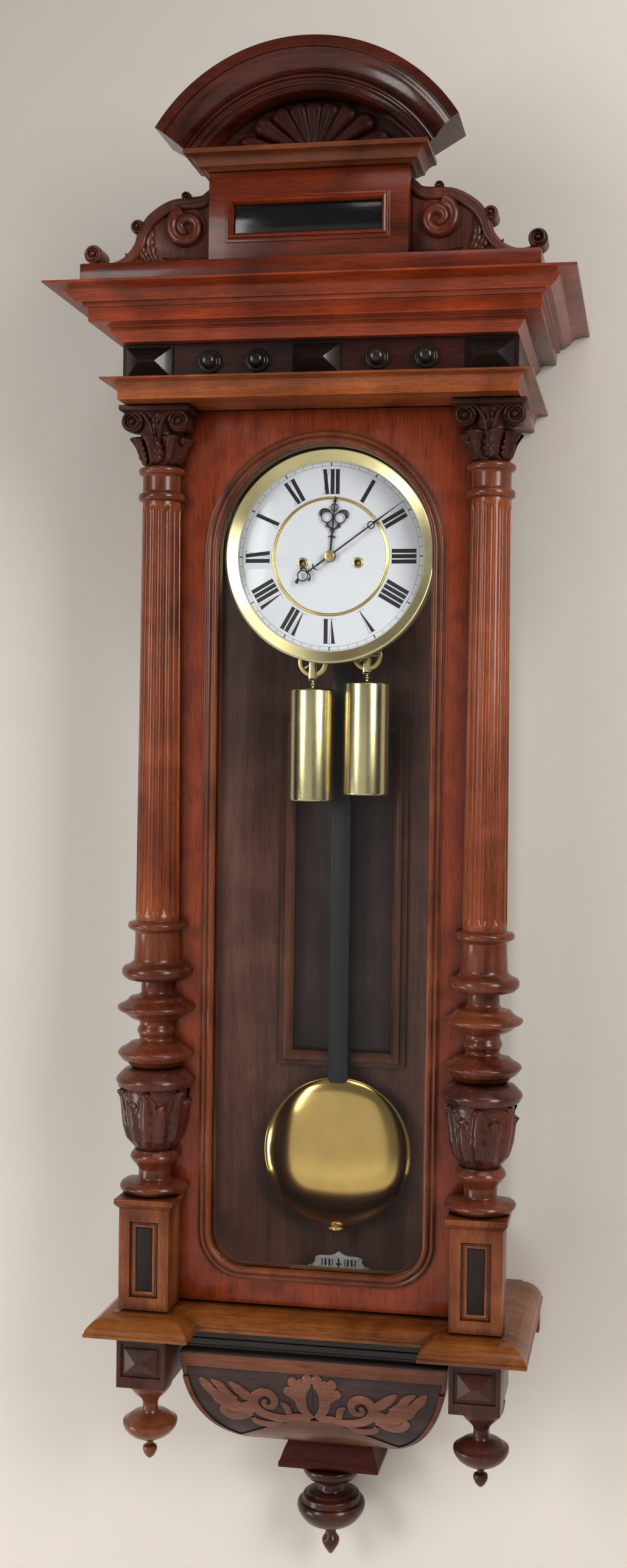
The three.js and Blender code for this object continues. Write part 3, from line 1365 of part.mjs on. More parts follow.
// Assembly
add("back_board", backBoard(), walnut());
addPair("side_frame", sideFrame(), walnut);
addPair("side_glass", sideGlass(), glass);
add("lower_cornice", lowerCornice(), walnut());
add("frieze", frieze(), darkWood());
add("main_cornice", mainCornice(), walnut());
add("crest_rail", crestRail(), walnut());
add("crest_tablet", crestTablet(), walnut());
addPair("crest_scroll", crestScroll(), darkWood);
add("crest_cornice", crestCornice(), walnut());
add("crest_arch", crestArch(), darkWood());
add("crest_shell", crestShell(), darkWood());
add("base_moulding", baseMoulding(), walnut());
addPair("drop_block", dropBlock(), walnut);
addPair("drop_finial", dropFinial(), walnut);
add("apron", apron(), walnut());
add("apron_cap", apronCap(), walnut());
add("centre_finial", centreFinial(), walnut());
add("hinge_upper", hinge(hingeHeights[1]), brass());
add("hinge_lower", hinge(hingeHeights[0]), brass());
add("door_frame", doorFrame(), walnut());
add("door_glass", doorGlass(), glass());
addPair("column", column(), walnut);
addPair("capital", capital(), darkWood);
addPair("pedestal", pedestal(), walnut);
add("latch_pin", latchPin(), brass());
add("latch_hook", latchHook(), brass());
add("seat_board", seatBoard(), walnut());
add("movement_frame", movementFrame(), brass());
add("dial", dial(), enamel());
add("bezel", bezel(), brass());
addPair("drum", drum(), brass);
[-1, 1].forEach((side, i) => {
  const name = side < 0 ? "left" : "right";
  const x = side * winderSpread + drumLineRadius - pulleyLineRadius;
  add("weight_" + name, weight(weightTopDrops[i]).translate([x, 0, 0]), brass());
  add("pulley_" + name, pulley(weightTopDrops[i]).translate([x, 0, 0]), brass());
  add("gut_line_" + name, gutLine(weightTopDrops[i]).translate([x, 0, 0]), gutColour());
  add("gut_top_" + name, gutTop().translate([x, 0, 0]), gutColour());
});
add("hour_hand", hourHand(), blackPaint());
add("minute_hand", minuteHand(), blackPaint());
add("escape_wheel", escapeWheel(), brass());
add("anchor", anchor(), steel());
add("pendulum_cock", pendulumCock(), brass());
add("pendulum_rod", pendulumRod(), blackPaint());
add("pendulum_bob", pendulumBob(), brass());
add("rating_nut", ratingNut(), brass());
add("beat_plate", beatPlate(), steel());
add("gong", gong(), steel());
add("hammer", hammer(), steel());

export default clock;
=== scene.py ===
import math

import bmesh
import bpy
import numpy as np
from mathutils import Matrix, Vector


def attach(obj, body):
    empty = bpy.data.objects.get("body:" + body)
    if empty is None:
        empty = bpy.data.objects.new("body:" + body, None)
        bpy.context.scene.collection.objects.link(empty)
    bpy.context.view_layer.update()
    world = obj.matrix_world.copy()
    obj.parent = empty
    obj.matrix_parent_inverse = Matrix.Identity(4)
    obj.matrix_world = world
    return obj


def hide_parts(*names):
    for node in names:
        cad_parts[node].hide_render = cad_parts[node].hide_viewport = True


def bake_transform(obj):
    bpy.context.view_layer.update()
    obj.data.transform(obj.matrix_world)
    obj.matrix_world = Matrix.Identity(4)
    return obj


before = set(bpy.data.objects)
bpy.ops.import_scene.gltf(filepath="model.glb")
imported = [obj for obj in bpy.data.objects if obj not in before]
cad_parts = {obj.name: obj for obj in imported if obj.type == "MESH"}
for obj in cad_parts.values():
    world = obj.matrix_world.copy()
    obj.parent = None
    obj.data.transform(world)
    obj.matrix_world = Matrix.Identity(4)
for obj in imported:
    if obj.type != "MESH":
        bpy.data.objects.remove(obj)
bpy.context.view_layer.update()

# The wall, the light and the camera.
# The clock hangs on a plain plaster wall in soft daylight from the right. The eye stands a
# little right of the clock's middle.

room_half, wall_foot, wall_top, room_depth, wall_gap = 3.0, -1.55, 2.2, 3.5, 0.001
hole_half, hole_foot, hole_top = 0.125, -0.70, 0.125
# Centre of the painted shade that greys the wall towards the upper left.
painted_shade_centre = (-0.6, 0, 0.8)


def node(tree, kind, wires=None, family="ShaderNode", **settings):
    """A node with its settings, its sockets wired to others or set to plain values."""
    made = tree.nodes.new(family + kind)
    for key, value in settings.items():
        setattr(made, key, value)
    for socket, value in (wires or {}).items():
        if isinstance(value, bpy.types.NodeSocket):
            tree.links.new(value, made.inputs[socket])
        else:
            made.inputs[socket].default_value = value
    return made


def blank_material(name):
    """An empty material, with its tree and each point's place on the object."""
    material = bpy.data.materials.new(name)
    material.use_nodes = True
    tree = material.node_tree
    tree.nodes.clear()
    return material, tree, node(tree, "TexCoord").outputs["Object"]


def noise(tree, where, scale, detail=2.0, **more):
    wires = {"Vector": where, "Scale": scale, "Detail": detail, **more}
    return node(tree, "TexNoise", wires).outputs["Fac"]


def stretched(tree, where, scale):
    return node(tree, "Mapping", {"Vector": where, "Scale": scale}).outputs[0]


def spread(tree, value, low, high, start=0.0, end=1.0):
    """The value's run from start to end, carried over to the run from low to high."""
    wires = {"Value": value, "From Min": start, "From Max": end, "To Min": low, "To Max": high}
    return node(tree, "MapRange", wires).outputs["Result"]


def sum_up(tree, operation, first, second=0.5):
    return node(tree, "Math", {0: first, 1: second}, operation=operation).outputs[0]


def shaded(tree, colour, tone):
    return node(tree, "VectorMath", {0: colour, "Scale": tone}, operation="SCALE").outputs["Vector"]


def relief(tree, height, strength, distance):
    wires = {"Height": height, "Strength": strength, "Distance": distance}
    return node(tree, "Bump", wires).outputs["Normal"]


def finished(material, colour, rough, normal, more={}):
    """The material, coated with one plain surface."""
    wires = {"Base Color": colour, "Roughness": rough, "Normal": normal, **more}
    return show(material, node(material.node_tree, "BsdfPrincipled", wires).outputs[0])


def show(material, shader):
    node(material.node_tree, "OutputMaterial", {"Surface": shader})
    return material


def mixed(tree, share, one, other):
    return node(tree, "MixShader", {0: share, 1: one, 2: other}).outputs[0]


def plaster(name, colour, one_sided):
    """Matt paint with a faint roller texture, with painted shade greying the upper left and painted
    light paling it near the floor.
    """
    material, tree, where = blank_material(name)
    corner = node(tree, "VectorMath", {0: where, 1: painted_shade_centre}, operation="DISTANCE")
    height = node(tree, "SeparateXYZ", {"Vector": where}).outputs["Z"]
    # Painted shade: darker towards the upper left.
    tone = sum_up(tree, "MULTIPLY", spread(tree, noise(tree, where, 2.2, 3.0), 0.96, 1.02),
        spread(tree, corner.outputs["Value"], 0.62, 1.0, 0.2, 0.95))
    # Painted light: paler towards the floor.
    tone = sum_up(tree, "MULTIPLY", tone, spread(tree, height, 1.2, 1.0, -0.95, -0.5))
    roller = relief(tree, noise(tree, where, 420.0), 0.2, 0.0004)
    wires = {"Base Color": shaded(tree, colour, tone), "Roughness": 0.85, "Normal": roller}
    shader = node(tree, "BsdfPrincipled", wires).outputs[0]
    if one_sided:
        back = node(tree, "NewGeometry").outputs["Backfacing"]
        shader = mixed(tree, back, shader, node(tree, "BsdfTransparent").outputs[0])
    return show(material, shader)


def linked(name, data):
    made = bpy.data.objects.new(name, data)
    bpy.context.collection.objects.link(made)
    return made


def plane(name, corners, material, sides=((0, 1, 2, 3),)):
    mesh = bpy.data.meshes.new(name)
    mesh.from_pydata(corners, [], sides)
    mesh.materials.append(material)
    linked(name, mesh)


def level_square(half, foot, top, gap):
    return [(-half, gap, foot), (half, gap, foot), (half, gap, top), (-half, gap, top)]


# The wall is left open behind the back board, so that daylight reaches the back of the case.
wall = level_square(room_half, wall_foot, wall_top, wall_gap)
opening = level_square(hole_half, hole_foot, hole_top, wall_gap)
plane("plaster_wall", wall + opening, plaster("cream_wall_paint", (0.575, 0.54, 0.50), True),
    ((0, 1, 5, 4), (1, 2, 6, 5), (2, 3, 7, 6), (3, 0, 4, 7)))
floor = [(x * room_half, y * room_depth, wall_foot)
    for x, y in ((-1, -1), (1, -1), (1, 1), (-1, 1))]
plane("pale_floor", floor, plaster("pale_floor_paint", (0.62, 0.60, 0.57), False))

scene = bpy.context.scene
scene.view_settings.view_transform = "Standard"
scene.world = bpy.data.worlds.new("soft_daylight")
scene.world.use_nodes = True
sky = scene.world.node_tree.nodes["Background"].inputs
sky["Color"].default_value = (1.0, 0.97, 0.93, 1)
sky["Strength"].default_value = 0.18


def lamp(name, place, target, width, height, watts, colour):
    light = bpy.data.lights.new(name, "AREA")
    light.shape, light.size, light.size_y = "RECTANGLE", width, height
    light.energy, light.color = watts, colour
    made = linked(name, light)
    made.location = place
    made.rotation_euler = (Vector(target) - Vector(place)).to_track_quat("-Z", "Y").to_euler()


lamp("right_window", (1.9, -1.9, 0.7), (0, -0.1, -0.25), 0.9, 1.5, 52, (1.0, 0.97, 0.93))
lamp("left_window", (-1.6, -2.1, 0.35), (0, -0.1, -0.2), 0.7, 1.3, 24, (1.0, 0.98, 0.96))
lamp("ceiling_bounce", (0.7, -1.5, 2.0), (0.1, -0.1, -0.1), 1.6, 1.0, 14, (1.0, 0.98, 0.94))
lamp("low_window", (-0.45, -2.1, -0.65), (0, 0, -0.55), 2.0, 1.7, 5, (1.0, 0.98, 0.95))
lamp("back_window", (-0.9, 2.2, 0.9), (0, 0, -0.2), 1.0, 1.0, 14, (1.0, 0.98, 0.96))
lamp("low_side_window", (-2.0, -1.1, -1.15), (0, 0, -0.95), 0.7, 0.9, 16, (1.0, 0.98, 0.96))

photo_width, photo_height, sensor = 1030, 2576, 36.0
camera_place = Vector((0.3118528, -1.5992191, -0.1850531))
camera_turn = Vector((-0.023, -0.0163, 0.163))
focal_pixels, centre_across, centre_down = 2646.5, 650.11, 1301.76
turn = Matrix.Rotation(camera_turn.length, 3, camera_turn.normalized())
right, ahead, up = turn.col
lens = bpy.data.cameras.new("camera")
lens.sensor_width, lens.lens = sensor, focal_pixels / photo_height * sensor
lens.shift_x = (photo_width / 2 - centre_across) / photo_height
lens.shift_y = (centre_down - photo_height / 2) / photo_height
camera = linked("camera", lens)
facing_turn = Matrix((right, up, -ahead)).transposed().to_4x4()
camera.matrix_world = Matrix.Translation(camera_place) @ facing_turn
scene.camera = camera

# The case: back board, sides and their panes.
# Solid and veneered walnut boards rebated together, with a raised frame on the back board and a
# pane in each side.


def wood(name, shades, grain="Z", figure=0.6, across=34.0, gloss=0.3, grime_and_shade_reach=0.012, coat=0.35,
        fibres=0.2, shine=0.25):
    """Varnished wood in a dark, a middle and a light shade: broad figure, fine fibres and pores
    along the grain, and hollows darkened by grime and painted shade."""
    material, tree, where = blank_material(name)
    along = stretched(tree, where, [across * 0.07 if axis == grain else across for axis in "XYZ"])
    broad = noise(tree, along, 1.0, 5.0, Roughness=0.55, Distortion=figure)
    clouds = sum_up(tree, "ADD", broad, noise(tree, where, 13.0, 3.0, Distortion=figure))
    ramp = node(tree, "ValToRGB", {"Fac": spread(tree, clouds, 0.0, 1.0, 0.72, 1.28)})
    stops = ramp.color_ramp.elements
    stops.new(0.5)
    for stop, at, shade in zip(stops, (0.0, 0.5, 1.0), shades):
        stop.position, stop.color = at, (*shade, 1)
    fibre = noise(tree, along, 11.0, 4.0)
    pores = spread(tree, noise(tree, along, 42.0, 1.0), 0.62, 1.0, 0.34, 0.44)
    streak = spread(tree, fibre, 1 - fibres, 1 + 0.6 * fibres, 0.3, 0.7)
    # Grime and painted shade: ambient occlusion darkens hollows, creases and faces that stand close
    # to other parts or the wall.
    hollow_grime_and_shade = node(tree, "AmbientOcclusion", {"Distance": grime_and_shade_reach}, samples=6).outputs["AO"]
    tone = sum_up(tree, "MULTIPLY", streak, pores)
    tone = sum_up(tree, "MULTIPLY", tone, spread(tree, hollow_grime_and_shade, 0.3, 1.0, 0.3, 0.9))
    rough = spread(tree, fibre, gloss - 0.07, gloss + 0.1)
    grooves = relief(tree, sum_up(tree, "ADD", fibre, pores), 0.22, 0.0003)
    varnish = {"Specular IOR Level": shine, "Coat Weight": coat * 0.4, "Coat Roughness": 0.1}
    return finished(material, shaded(tree, ramp.outputs["Color"], tone), rough, grooves, varnish)


def place(points):
    """Millimetres right, forward of the wall and up, as scene metres."""
    across, forward, height = np.asarray(points, float).T
    return np.column_stack([across, -forward, height]) / 1000


def mounted(name, mesh, body, replaced, crease):
    """The mesh as a smooth object on its body, in place of the plain solids it stands for."""
    mesh.shade_smooth()
    mesh.set_sharp_from_angle(angle=math.radians(crease))
    made = linked(name, mesh)
    if body:
        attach(made, body)
    if replaced:
        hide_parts(*replaced)
    return made


def piece(name, shape, material, *replaced, body="case", slot="walnut", crease=36):
    """One closed mesh with its faces outwards, from points and faces in millimetres."""
    points, faces = shape
    mesh = bpy.data.meshes.new(name)
    mesh.from_pydata(place(points).tolist(), [], faces)
    work = bmesh.new()
    work.from_mesh(mesh)
    bmesh.ops.remove_doubles(work, verts=work.verts, dist=2e-6)
    bmesh.ops.recalc_face_normals(work, faces=work.faces)
    work.to_mesh(mesh)
    work.free()
    mesh.materials.append(material)
    mounted(name, mesh, body, replaced, crease)


def merged(*shapes):
    points, faces, base = [], [], 0
    for some, sides in shapes:
        points.append(np.asarray(some, float))
        faces += [tuple(i + base for i in side) for side in sides]
        base += len(some)
    return np.vstack(points), faces


def mirrored(shape):
    points, faces = shape
    return np.asarray(points) * (-1, 1, 1), [side[::-1] for side in faces]


both_sides = (("right", lambda shape: shape), ("left", mirrored))


def full_turn(sides):
    return np.linspace(0, 2 * math.pi, sides, endpoint=False)


def rectangle(left, right, foot, top):
    return [(left, foot), (right, foot), (right, top), (left, top)]


def symmetric(half):
    """The right half of an outline, then its left half back to the start."""
    return half + [(-x, z) for x, z in half[::-1] if x]


def skin(rings, loop=False, wrap=True):
    """Quads between equal rings, closed by a face at each end unless they run in a loop."""
    rings = np.asarray(rings, float)
    count, size = rings.shape[:2]
    faces = []
    for i in range(count if loop else count - 1):
        for j in range(size if wrap else size - 1):
            k, n = (i + 1) % count, (j + 1) % size
            faces.append((i * size + j, i * size + n, k * size + n, k * size + j))
    if not loop and wrap:
        faces += [tuple(range(size)), tuple(range((count - 1) * size, count * size))]
    return rings.reshape(-1, 3), faces


def eased(corners, leg, steps=3, closed=False):
    """The line with each corner rounded off over at most the given leg."""
    corners = [np.array(c, float) for c in corners]
    line = []
    for i, corner in enumerate(corners):
        if not closed and i in (0, len(corners) - 1):
            line.append(corner)
            continue
        before, after = corners[i - 1] - corner, corners[(i + 1) % len(corners)] - corner
        near, far = np.linalg.norm(before), np.linalg.norm(after)
        cut = min(leg, 0.48 * near, 0.48 * far)
        start, end = corner + before / near * cut, corner + after / far * cut
        line += [(1 - t) ** 2 * start + 2 * t * (1 - t) * corner + t * t * end
            for t in np.linspace(0, 1, steps + 1)]
    return np.array(line)


def moulding(plan, levels):
    return skin([[(x, depth, z) for x, depth in plan(reach)] for reach, z in levels])


def shares(table, reach, height, foot):
    return [(across * reach, foot + rise * height) for across, rise in table]


def board(left, right, back, front, foot, top, ease=0.8):
    """A planed board with its long edges just broken."""
    def plan(reach):
        outline = rectangle(left - reach, right + reach, back - reach, front + reach)
        return eased(outline, ease, 2, True)
    return moulding(plan, [(-ease, foot), (-ease / 3, foot + ease / 3), (0, foot + ease),
            (0, top - ease), (-ease / 3, top - ease / 3), (-ease, top)])


def reshade(material, *names):
    """The plain solid stays, and takes the real finish."""
    for name in names:
        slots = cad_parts[name].data.materials
        slots.clear()
        slots.append(material)


polished, dull = {"gloss": 0.24, "coat": 0.5}, {"gloss": 0.42, "coat": 0.15}
case_shades = ((0.046, 0.0095, 0.0032), (0.120, 0.025, 0.0075), (0.200, 0.047, 0.014))
case_wood = wood("case_walnut", case_shades, "Z", 0.9)
inner_wood = wood("back_board_walnut", ((0.060, 0.022, 0.015), (0.115, 0.043, 0.030),
        (0.170, 0.068, 0.048)), "Z", 0.5, **dull)
field_wood = wood("panel_field_walnut", ((0.026, 0.014, 0.012), (0.054, 0.029, 0.026),
        (0.082, 0.046, 0.041)), "Z", 0.5, **dull)
reshade(inner_wood, "back_board")
reshade(case_wood, "side_frame_right", "side_frame_left")


def planted_frame(left, right, foot, top, table, width, stand, face):
    """A mitred moulding round a rectangle: the table runs from its inner edge outwards."""
    rings = [[(x, face + stand * rise, z) for x, z in rectangle(left - width * reach,
            right + width * reach, foot - width * reach, top + width * reach)]
        for reach, rise in table]
    return skin(rings, loop=True)


panel_shares = [(-0.02, -0.1), (-0.02, 0.46), (0.18, 0.83), (0.4, 1.03), (0.62, 0.98), (0.7, 0.63),
    (1.02, 0.43), (1.02, -0.1)]
panel_half, panel_foot, panel_top, panel_width, panel_stand = 50.3, -486, -164, 14, 8
board_face, panel_ledge = 12, 0.3
frame_wood = wood("panel_frame_walnut", ((0.050, 0.0140, 0.0070), (0.130, 0.0390, 0.0200),
        (0.200, 0.068, 0.036)), "Z", 0.6)
piece("panel_frame_moulding", planted_frame(-panel_half, panel_half, panel_foot, panel_top,
        panel_shares, panel_width, panel_stand, board_face), frame_wood)
piece("panel_field", board(-panel_half - panel_ledge, panel_half + panel_ledge, board_face - 1,
        board_face + 0.5, panel_foot - panel_ledge, panel_top + panel_ledge, 0.2), field_wood)


def pane_glass(name, index, gleam_share=0.4):
    """Old drawn glass: clear, with the room faintly mirrored in its front."""
    material, tree, where = blank_material(name)
    wave = relief(tree, noise(tree, where, 7.0, 1.0), 0.12, 0.002)
    gleam = node(tree, "Fresnel", {"IOR": index, "Normal": wave}).outputs[0]
    behind = node(tree, "NewGeometry").outputs["Backfacing"]
    share = sum_up(tree, "MULTIPLY", sum_up(tree, "SUBTRACT", 1.0, behind), gleam_share)
    clear = node(tree, "BsdfTransparent", {"Color": (0.95, 0.97, 0.965, 1)}).outputs[0]
    mirror = {"Color": (1, 1, 1, 1), "Roughness": 0.03, "Normal": wave}
    mirror = node(tree, "BsdfAnisotropic", mirror).outputs[0]
    return show(material, mixed(tree, sum_up(tree, "MULTIPLY", gleam, share), clear, mirror))


glass = pane_glass("drawn_glass", 1.42)
reshade(glass, "side_glass_right", "side_glass_left")

# The movement: seat board, plates, great wheels, escapement, gong and hammer.
# Lacquered brass plates pinned on four pillars stand on a walnut seat board, behind the dial.


def metal(name, colour, roughness, brushed=0.0, tarnish=0.12):
    """Polished or brushed metal with faint tarnish clouds and fine scratches."""
    material, tree, where = blank_material(name)
    cloud = noise(tree, where, 26.0, 5.0)
    spots = spread(tree, noise(tree, where, 420.0), 0.7, 1.0, 0.24, 0.3)
    tone = sum_up(tree, "MULTIPLY", spread(tree, cloud, 1 - tarnish, 1.04, 0.3, 0.7), spots)
    lines = noise(tree, stretched(tree, where, (60, 60, 3000)), 1.0)
    rough = spread(tree, cloud, roughness * 0.75, roughness * 1.4)
    return finished(material, shaded(tree, colour, tone), rough,
        relief(tree, lines, brushed, 0.0001), {"Metallic": 1.0})


def slab(outline, back, front):
    return skin([[(x, depth, z) for x, z in outline] for depth in (back, front)])


def disc(x, z, radius, back, front, sides=32):
    return slab([(x + radius * math.cos(a), z + radius * math.sin(a)) for a in full_turn(sides)],
        back, front)


def turned(profile, x, depth, sides=56, loop=False):
    """Lathe work about an upright axis, from radii and heights."""
    return skin([[(x + r * math.cos(a), depth + r * math.sin(a), z) for a in full_turn(sides)]
            for r, z in profile], loop)


def turned_forward(profile, x, z, sides=64, loop=False):
    """Lathe work about an axis that points at the viewer, from radii and depths."""
    return skin([[(x + r * math.cos(a), depth, z + r * math.sin(a)) for a in full_turn(sides)]
            for r, depth in profile], loop)


def path(name, runs, flat=False):
    """A curve object's data: open runs of straight lines, or closed outlines in one plane."""
    curve = bpy.data.curves.new(name, "CURVE")
    curve.dimensions = "2D" if flat else "3D"
    for run in runs:
        spline = curve.splines.new("POLY")
        spline.points.add(len(run) - 1)
        for point, corner in zip(spline.points, run):
            point.co = (*corner, 1)
        spline.use_cyclic_u = flat
    return curve


def baked(holder):
    depsgraph = bpy.context.evaluated_depsgraph_get()
    return bpy.data.meshes.new_from_object(holder.evaluated_get(depsgraph))


def cut_out(outlines, back, front, ease=0.3):
    """A sawn shape, pierced where one outline lies inside another, with its edges broken."""
    curve = path("outline", [[(x, z, 0) for x, z in outline] for outline in outlines], True)
    curve.fill_mode = "BOTH"
    curve.extrude, curve.offset = (front - back) / 2 - ease, -ease
    curve.bevel_depth, curve.bevel_resolution = ease, 1
    holder = linked("outline", curve)
    mesh = baked(holder)
    corners = np.array([v.co[:] for v in mesh.vertices])
    faces = [tuple(side.vertices) for side in mesh.polygons]
    bpy.data.objects.remove(holder)
    bpy.data.curves.remove(curve)
    bpy.data.meshes.remove(mesh)
    return np.column_stack([corners[:, 0], (back + front) / 2 + corners[:, 2],
            corners[:, 1]]), faces


def turned_about(shape, degrees):
    """A shape turned clockwise about the centre of the dial."""
    (x, depth, z), angle = np.array(shape[0]).T, math.radians(degrees)
    along, down = math.cos(angle), math.sin(angle)
    return np.column_stack([x * along + z * down, depth, z * along - x * down]), shape[1]


def ring_line(x, z, radius, start=0, end=360, steps=40):
    """Points on a circle, from start to end in degrees above the right."""
    turn = np.radians(np.linspace(start, end, steps, endpoint=abs(end - start) < 360))
    return [(x + radius * math.cos(a), z + radius * math.sin(a)) for a in turn]


brass = metal("polished_brass", (0.80, 0.60, 0.26), 0.16)
plate_brass = metal("lacquered_brass", (0.72, 0.52, 0.23), 0.3, 0.3)
steel = metal("blued_steel", (0.20, 0.21, 0.24), 0.3)
bright_steel = metal("bright_steel", (0.55, 0.55, 0.56), 0.28, 0.2)
reshade(inner_wood, "seat_board")
reshade(plate_brass, "movement_frame", "drum_right", "drum_left", "escape_wheel", "pendulum_cock")
reshade(steel, "anchor", "hammer", "gong")
reshade(brass, "hinge_upper", "hinge_lower", "latch_hook", "latch_pin")


def grow(tree, kind, wires=None):
    """A geometry node, by its first output."""
    return node(tree, kind, wires, "GeometryNode").outputs[0]


def growing_tree(name, inputs):
    """A geometry tree with its outer sockets."""
    tree = bpy.data.node_groups.new(name, "GeometryNodeTree")
    for title, kind in (*inputs, ("Finish", "Material")):
        tree.interface.new_socket(title, in_out="INPUT", socket_type="NodeSocket" + kind)
    tree.interface.new_socket("Made", in_out="OUTPUT", socket_type="NodeSocketGeometry")
    return tree, node(tree, "NodeGroupInput", family="").outputs


def end_tree(tree, given, shape):
    """Makes everything real and gives it the one finish."""
    real = grow(tree, "RealizeInstances", {"Geometry": shape})
    finish = grow(tree, "SetMaterial", {"Geometry": real, "Material": given["Finish"]})
    node(tree, "NodeGroupOutput", {"Made": finish}, "")
    return tree


def cord_along_path():
    """A tube of one thickness along each curve it is given."""
    tree, given = growing_tree("cord_along_path",
        (("Path", "Geometry"), ("Radius", "Float"), ("Sides", "Int")))
    circle = grow(tree, "CurvePrimitiveCircle", {"Radius": given["Radius"],
            "Resolution": given["Sides"]})
    return end_tree(tree, given, grow(tree, "CurveToMesh",
            {"Curve": given["Path"], "Profile Curve": circle, "Fill Caps": True}))


def grown(name, tree, start, settings, *replaced, body="case", slot="brass", crease=40):
    """Runs a node tree on a start object and keeps the result as a plain mesh on its body."""
    holder = linked(name + "_start", start)
    modifier = holder.modifiers.new("grow", "NODES")
    modifier.node_group = tree
    for item in tree.interface.items_tree:
        if item.in_out == "INPUT" and item.name in settings:
            modifier[item.identifier] = settings[item.name]
    holder.update_tag()
    mesh = baked(holder)
    bpy.data.objects.remove(holder)
    mesh.name = name
    return mounted(name, mesh, body, replaced, crease)


# The falls: gut lines, pulleys and weights.
# Each gut line leaves its drum, passes under a spoked brass pulley and hooks to the seat board; a
# brass-cased weight hangs below the pulley.

line_depth, gut_radius, pulley_line, seat_foot = 68, 0.8, 13.0, -66.3
weight_tops = {"left": (-22.6, -124.0), "right": (30.6, -117.3)}
drum_edge = {"left": -9.6, "right": 43.6}
gut_start, gut_end = -6, -66


def gut():
    """Twisted gut, amber and matt."""
    material, tree, where = blank_material("twisted_gut")
    wires = {"Vector": where, "Scale": 260.0, "Distortion": 1.0}
    twist = node(tree, "TexWave", wires, bands_direction="DIAGONAL").outputs["Fac"]
    colour = shaded(tree, (0.36, 0.24, 0.11), spread(tree, twist, 0.75, 1.1))
    return finished(material, colour, 0.45, relief(tree, twist, 0.4, 0.0002))


gut_finish = gut()
cord_tree = cord_along_path()
rim_outer, rim_inner, rim_half, hub_radius, spoke_count, spoke_half = 14.3, 10.4, 2.6, 3.6, 5, 0.9
weight_radius, weight_height, pulley_rise = 22.3, 109.0, 26.0
strap_inner, strap_outer, strap_half = 3.6, 5.1, 3.4
groove_foot, groove_half, lip = pulley_line - gut_radius - 0.3, 1.1, 0.7


def about_line(profile, x, z, sides, ease, loop=False):
    """Lathe work on the fall's own depth, from radii and distances before or behind it."""
    profile = eased(profile, ease, 2 if loop else 3, loop)
    return turned_forward([(r, line_depth + d) for r, d in profile], x, z, sides, loop)


def pulley_shape(x, z):
    rim = about_line([(rim_inner, -rim_half), (rim_outer, -rim_half), (rim_outer, lip - rim_half),
            (groove_foot, -groove_half), (groove_foot, groove_half), (rim_outer, rim_half - lip),
            (rim_outer, rim_half), (rim_inner, rim_half)], x, z, 48, 0.4, True)
    hub = about_line([(0, -rim_half), (hub_radius, -rim_half), (hub_radius, rim_half),
            (0, rim_half)], x, z, 24, 0.6)
    spokes = []
    for turn in full_turn(spoke_count):
        out = np.array([math.cos(turn), math.sin(turn)])
        side = np.array([-out[1], out[0]])
        reach_in, reach_out = hub_radius - 1, rim_inner + 0.8
        outline = [out * reach + side * half * spoke_half + (x, z)
            for reach, half in ((reach_in, -1), (reach_out, -0.7), (reach_out, 0.7), (reach_in, 1))]
        spokes.append(cut_out([outline], line_depth - 1.2, line_depth + 1.2, 0.25))
    return merged(rim, hub, *spokes)


def weight_shape(x, top):
    z, foot = top + pulley_rise, top - weight_height
    shell = turned(eased([(0, foot), (weight_radius - 1.6, foot), (weight_radius, foot + 1.6),
            (weight_radius, top - 1.4), (weight_radius - 1.3, top - 0.3),
            (weight_radius - 3.4, top), (5, top), (4.4, top + 1.4), (0, top + 1.4)], 1.2), x,
        line_depth, 96)
    bridge = z - rim_outer - 1
    knob, waist = bridge - 2.5, strap_half * 0.8
    outline = eased([(x - strap_half, knob), (x + strap_half, knob), (x + waist, z),
            (x + strap_half, z + 2.5), (x, z + 4), (x - strap_half, z + 2.5), (x - waist, z)], 1.5,
        3, True)
    straps = [cut_out([outline], line_depth + near, line_depth + far, 0.3)
        for near, far in ((strap_inner, strap_outer), (-strap_outer, -strap_inner))]
    yoke = board(x - strap_half, x + strap_half, line_depth - strap_outer, line_depth + strap_outer,
        knob, bridge, 0.5)
    axle = about_line([(0, -strap_outer - 0.8), (2.4, -strap_outer - 0.8), (2.4, -strap_outer),
            (1.6, -strap_outer), (1.6, strap_outer), (2.4, strap_outer), (2.4, strap_outer + 0.8),
            (0, strap_outer + 0.8)], x, z, 20, 0.3)
    stem = turned(eased([(0, top), (1.5, top), (1.3, top + 3.2), (2.6, top + 4.2), (2.6, top + 5.4),
            (1.4, top + 6.2), (1.4, knob), (0, knob)], 0.5), x, line_depth, 20)
    return merged(shell, *straps, yoke, axle, stem)


weight_brass = metal("satin_weight_brass", (0.70, 0.59, 0.33), 0.22, 0.3)
cord = {"Radius": gut_radius / 1000, "Sides": 8, "Finish": gut_finish}
for side, (x, top) in weight_tops.items():
    pulley_z, gut_drum = top + pulley_rise, drum_edge[side]
    piece("weight_case_" + side, weight_shape(x, top), weight_brass, "weight_" + side,
        body="weight_" + side, slot="brass")
    piece("pulley_wheel_" + side, pulley_shape(x, pulley_z), plate_brass, "pulley_" + side,
        body="pulley_" + side, slot="brass")
    around = [(x + pulley_line, seat_foot), *ring_line(x, pulley_z, pulley_line, 0, -180, 25),
        (x - pulley_line, seat_foot)]
    fall_line = path("gut_fall", [place([(px, line_depth, pz) for px, pz in around])])
    fall = grown("gut_fall_" + side, cord_tree, fall_line, cord, "gut_line_" + side, body=None,
        slot="gut")
    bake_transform(fall)
    upper = path("gut_rise", [place([(gut_drum, line_depth, z) for z in (gut_start, gut_end)])])
    grown("gut_rise_" + side, cord_tree, upper, cord, "gut_top_" + side, slot="gut")

# The pendulum.
# A flat ebonised rod hangs from a steel spring and carries a brass lens bob on a threaded tail
# with its rating nut.

rod_depth, rod_half, rod_thick, pivot_height = 30, 10, 8, 60
spring_half, clamp_half, thread_radius, thread_foot = 4, 7, 2.2, -675.5
bob_z, bob_radius, bob_swell = -583, 74.5, 13


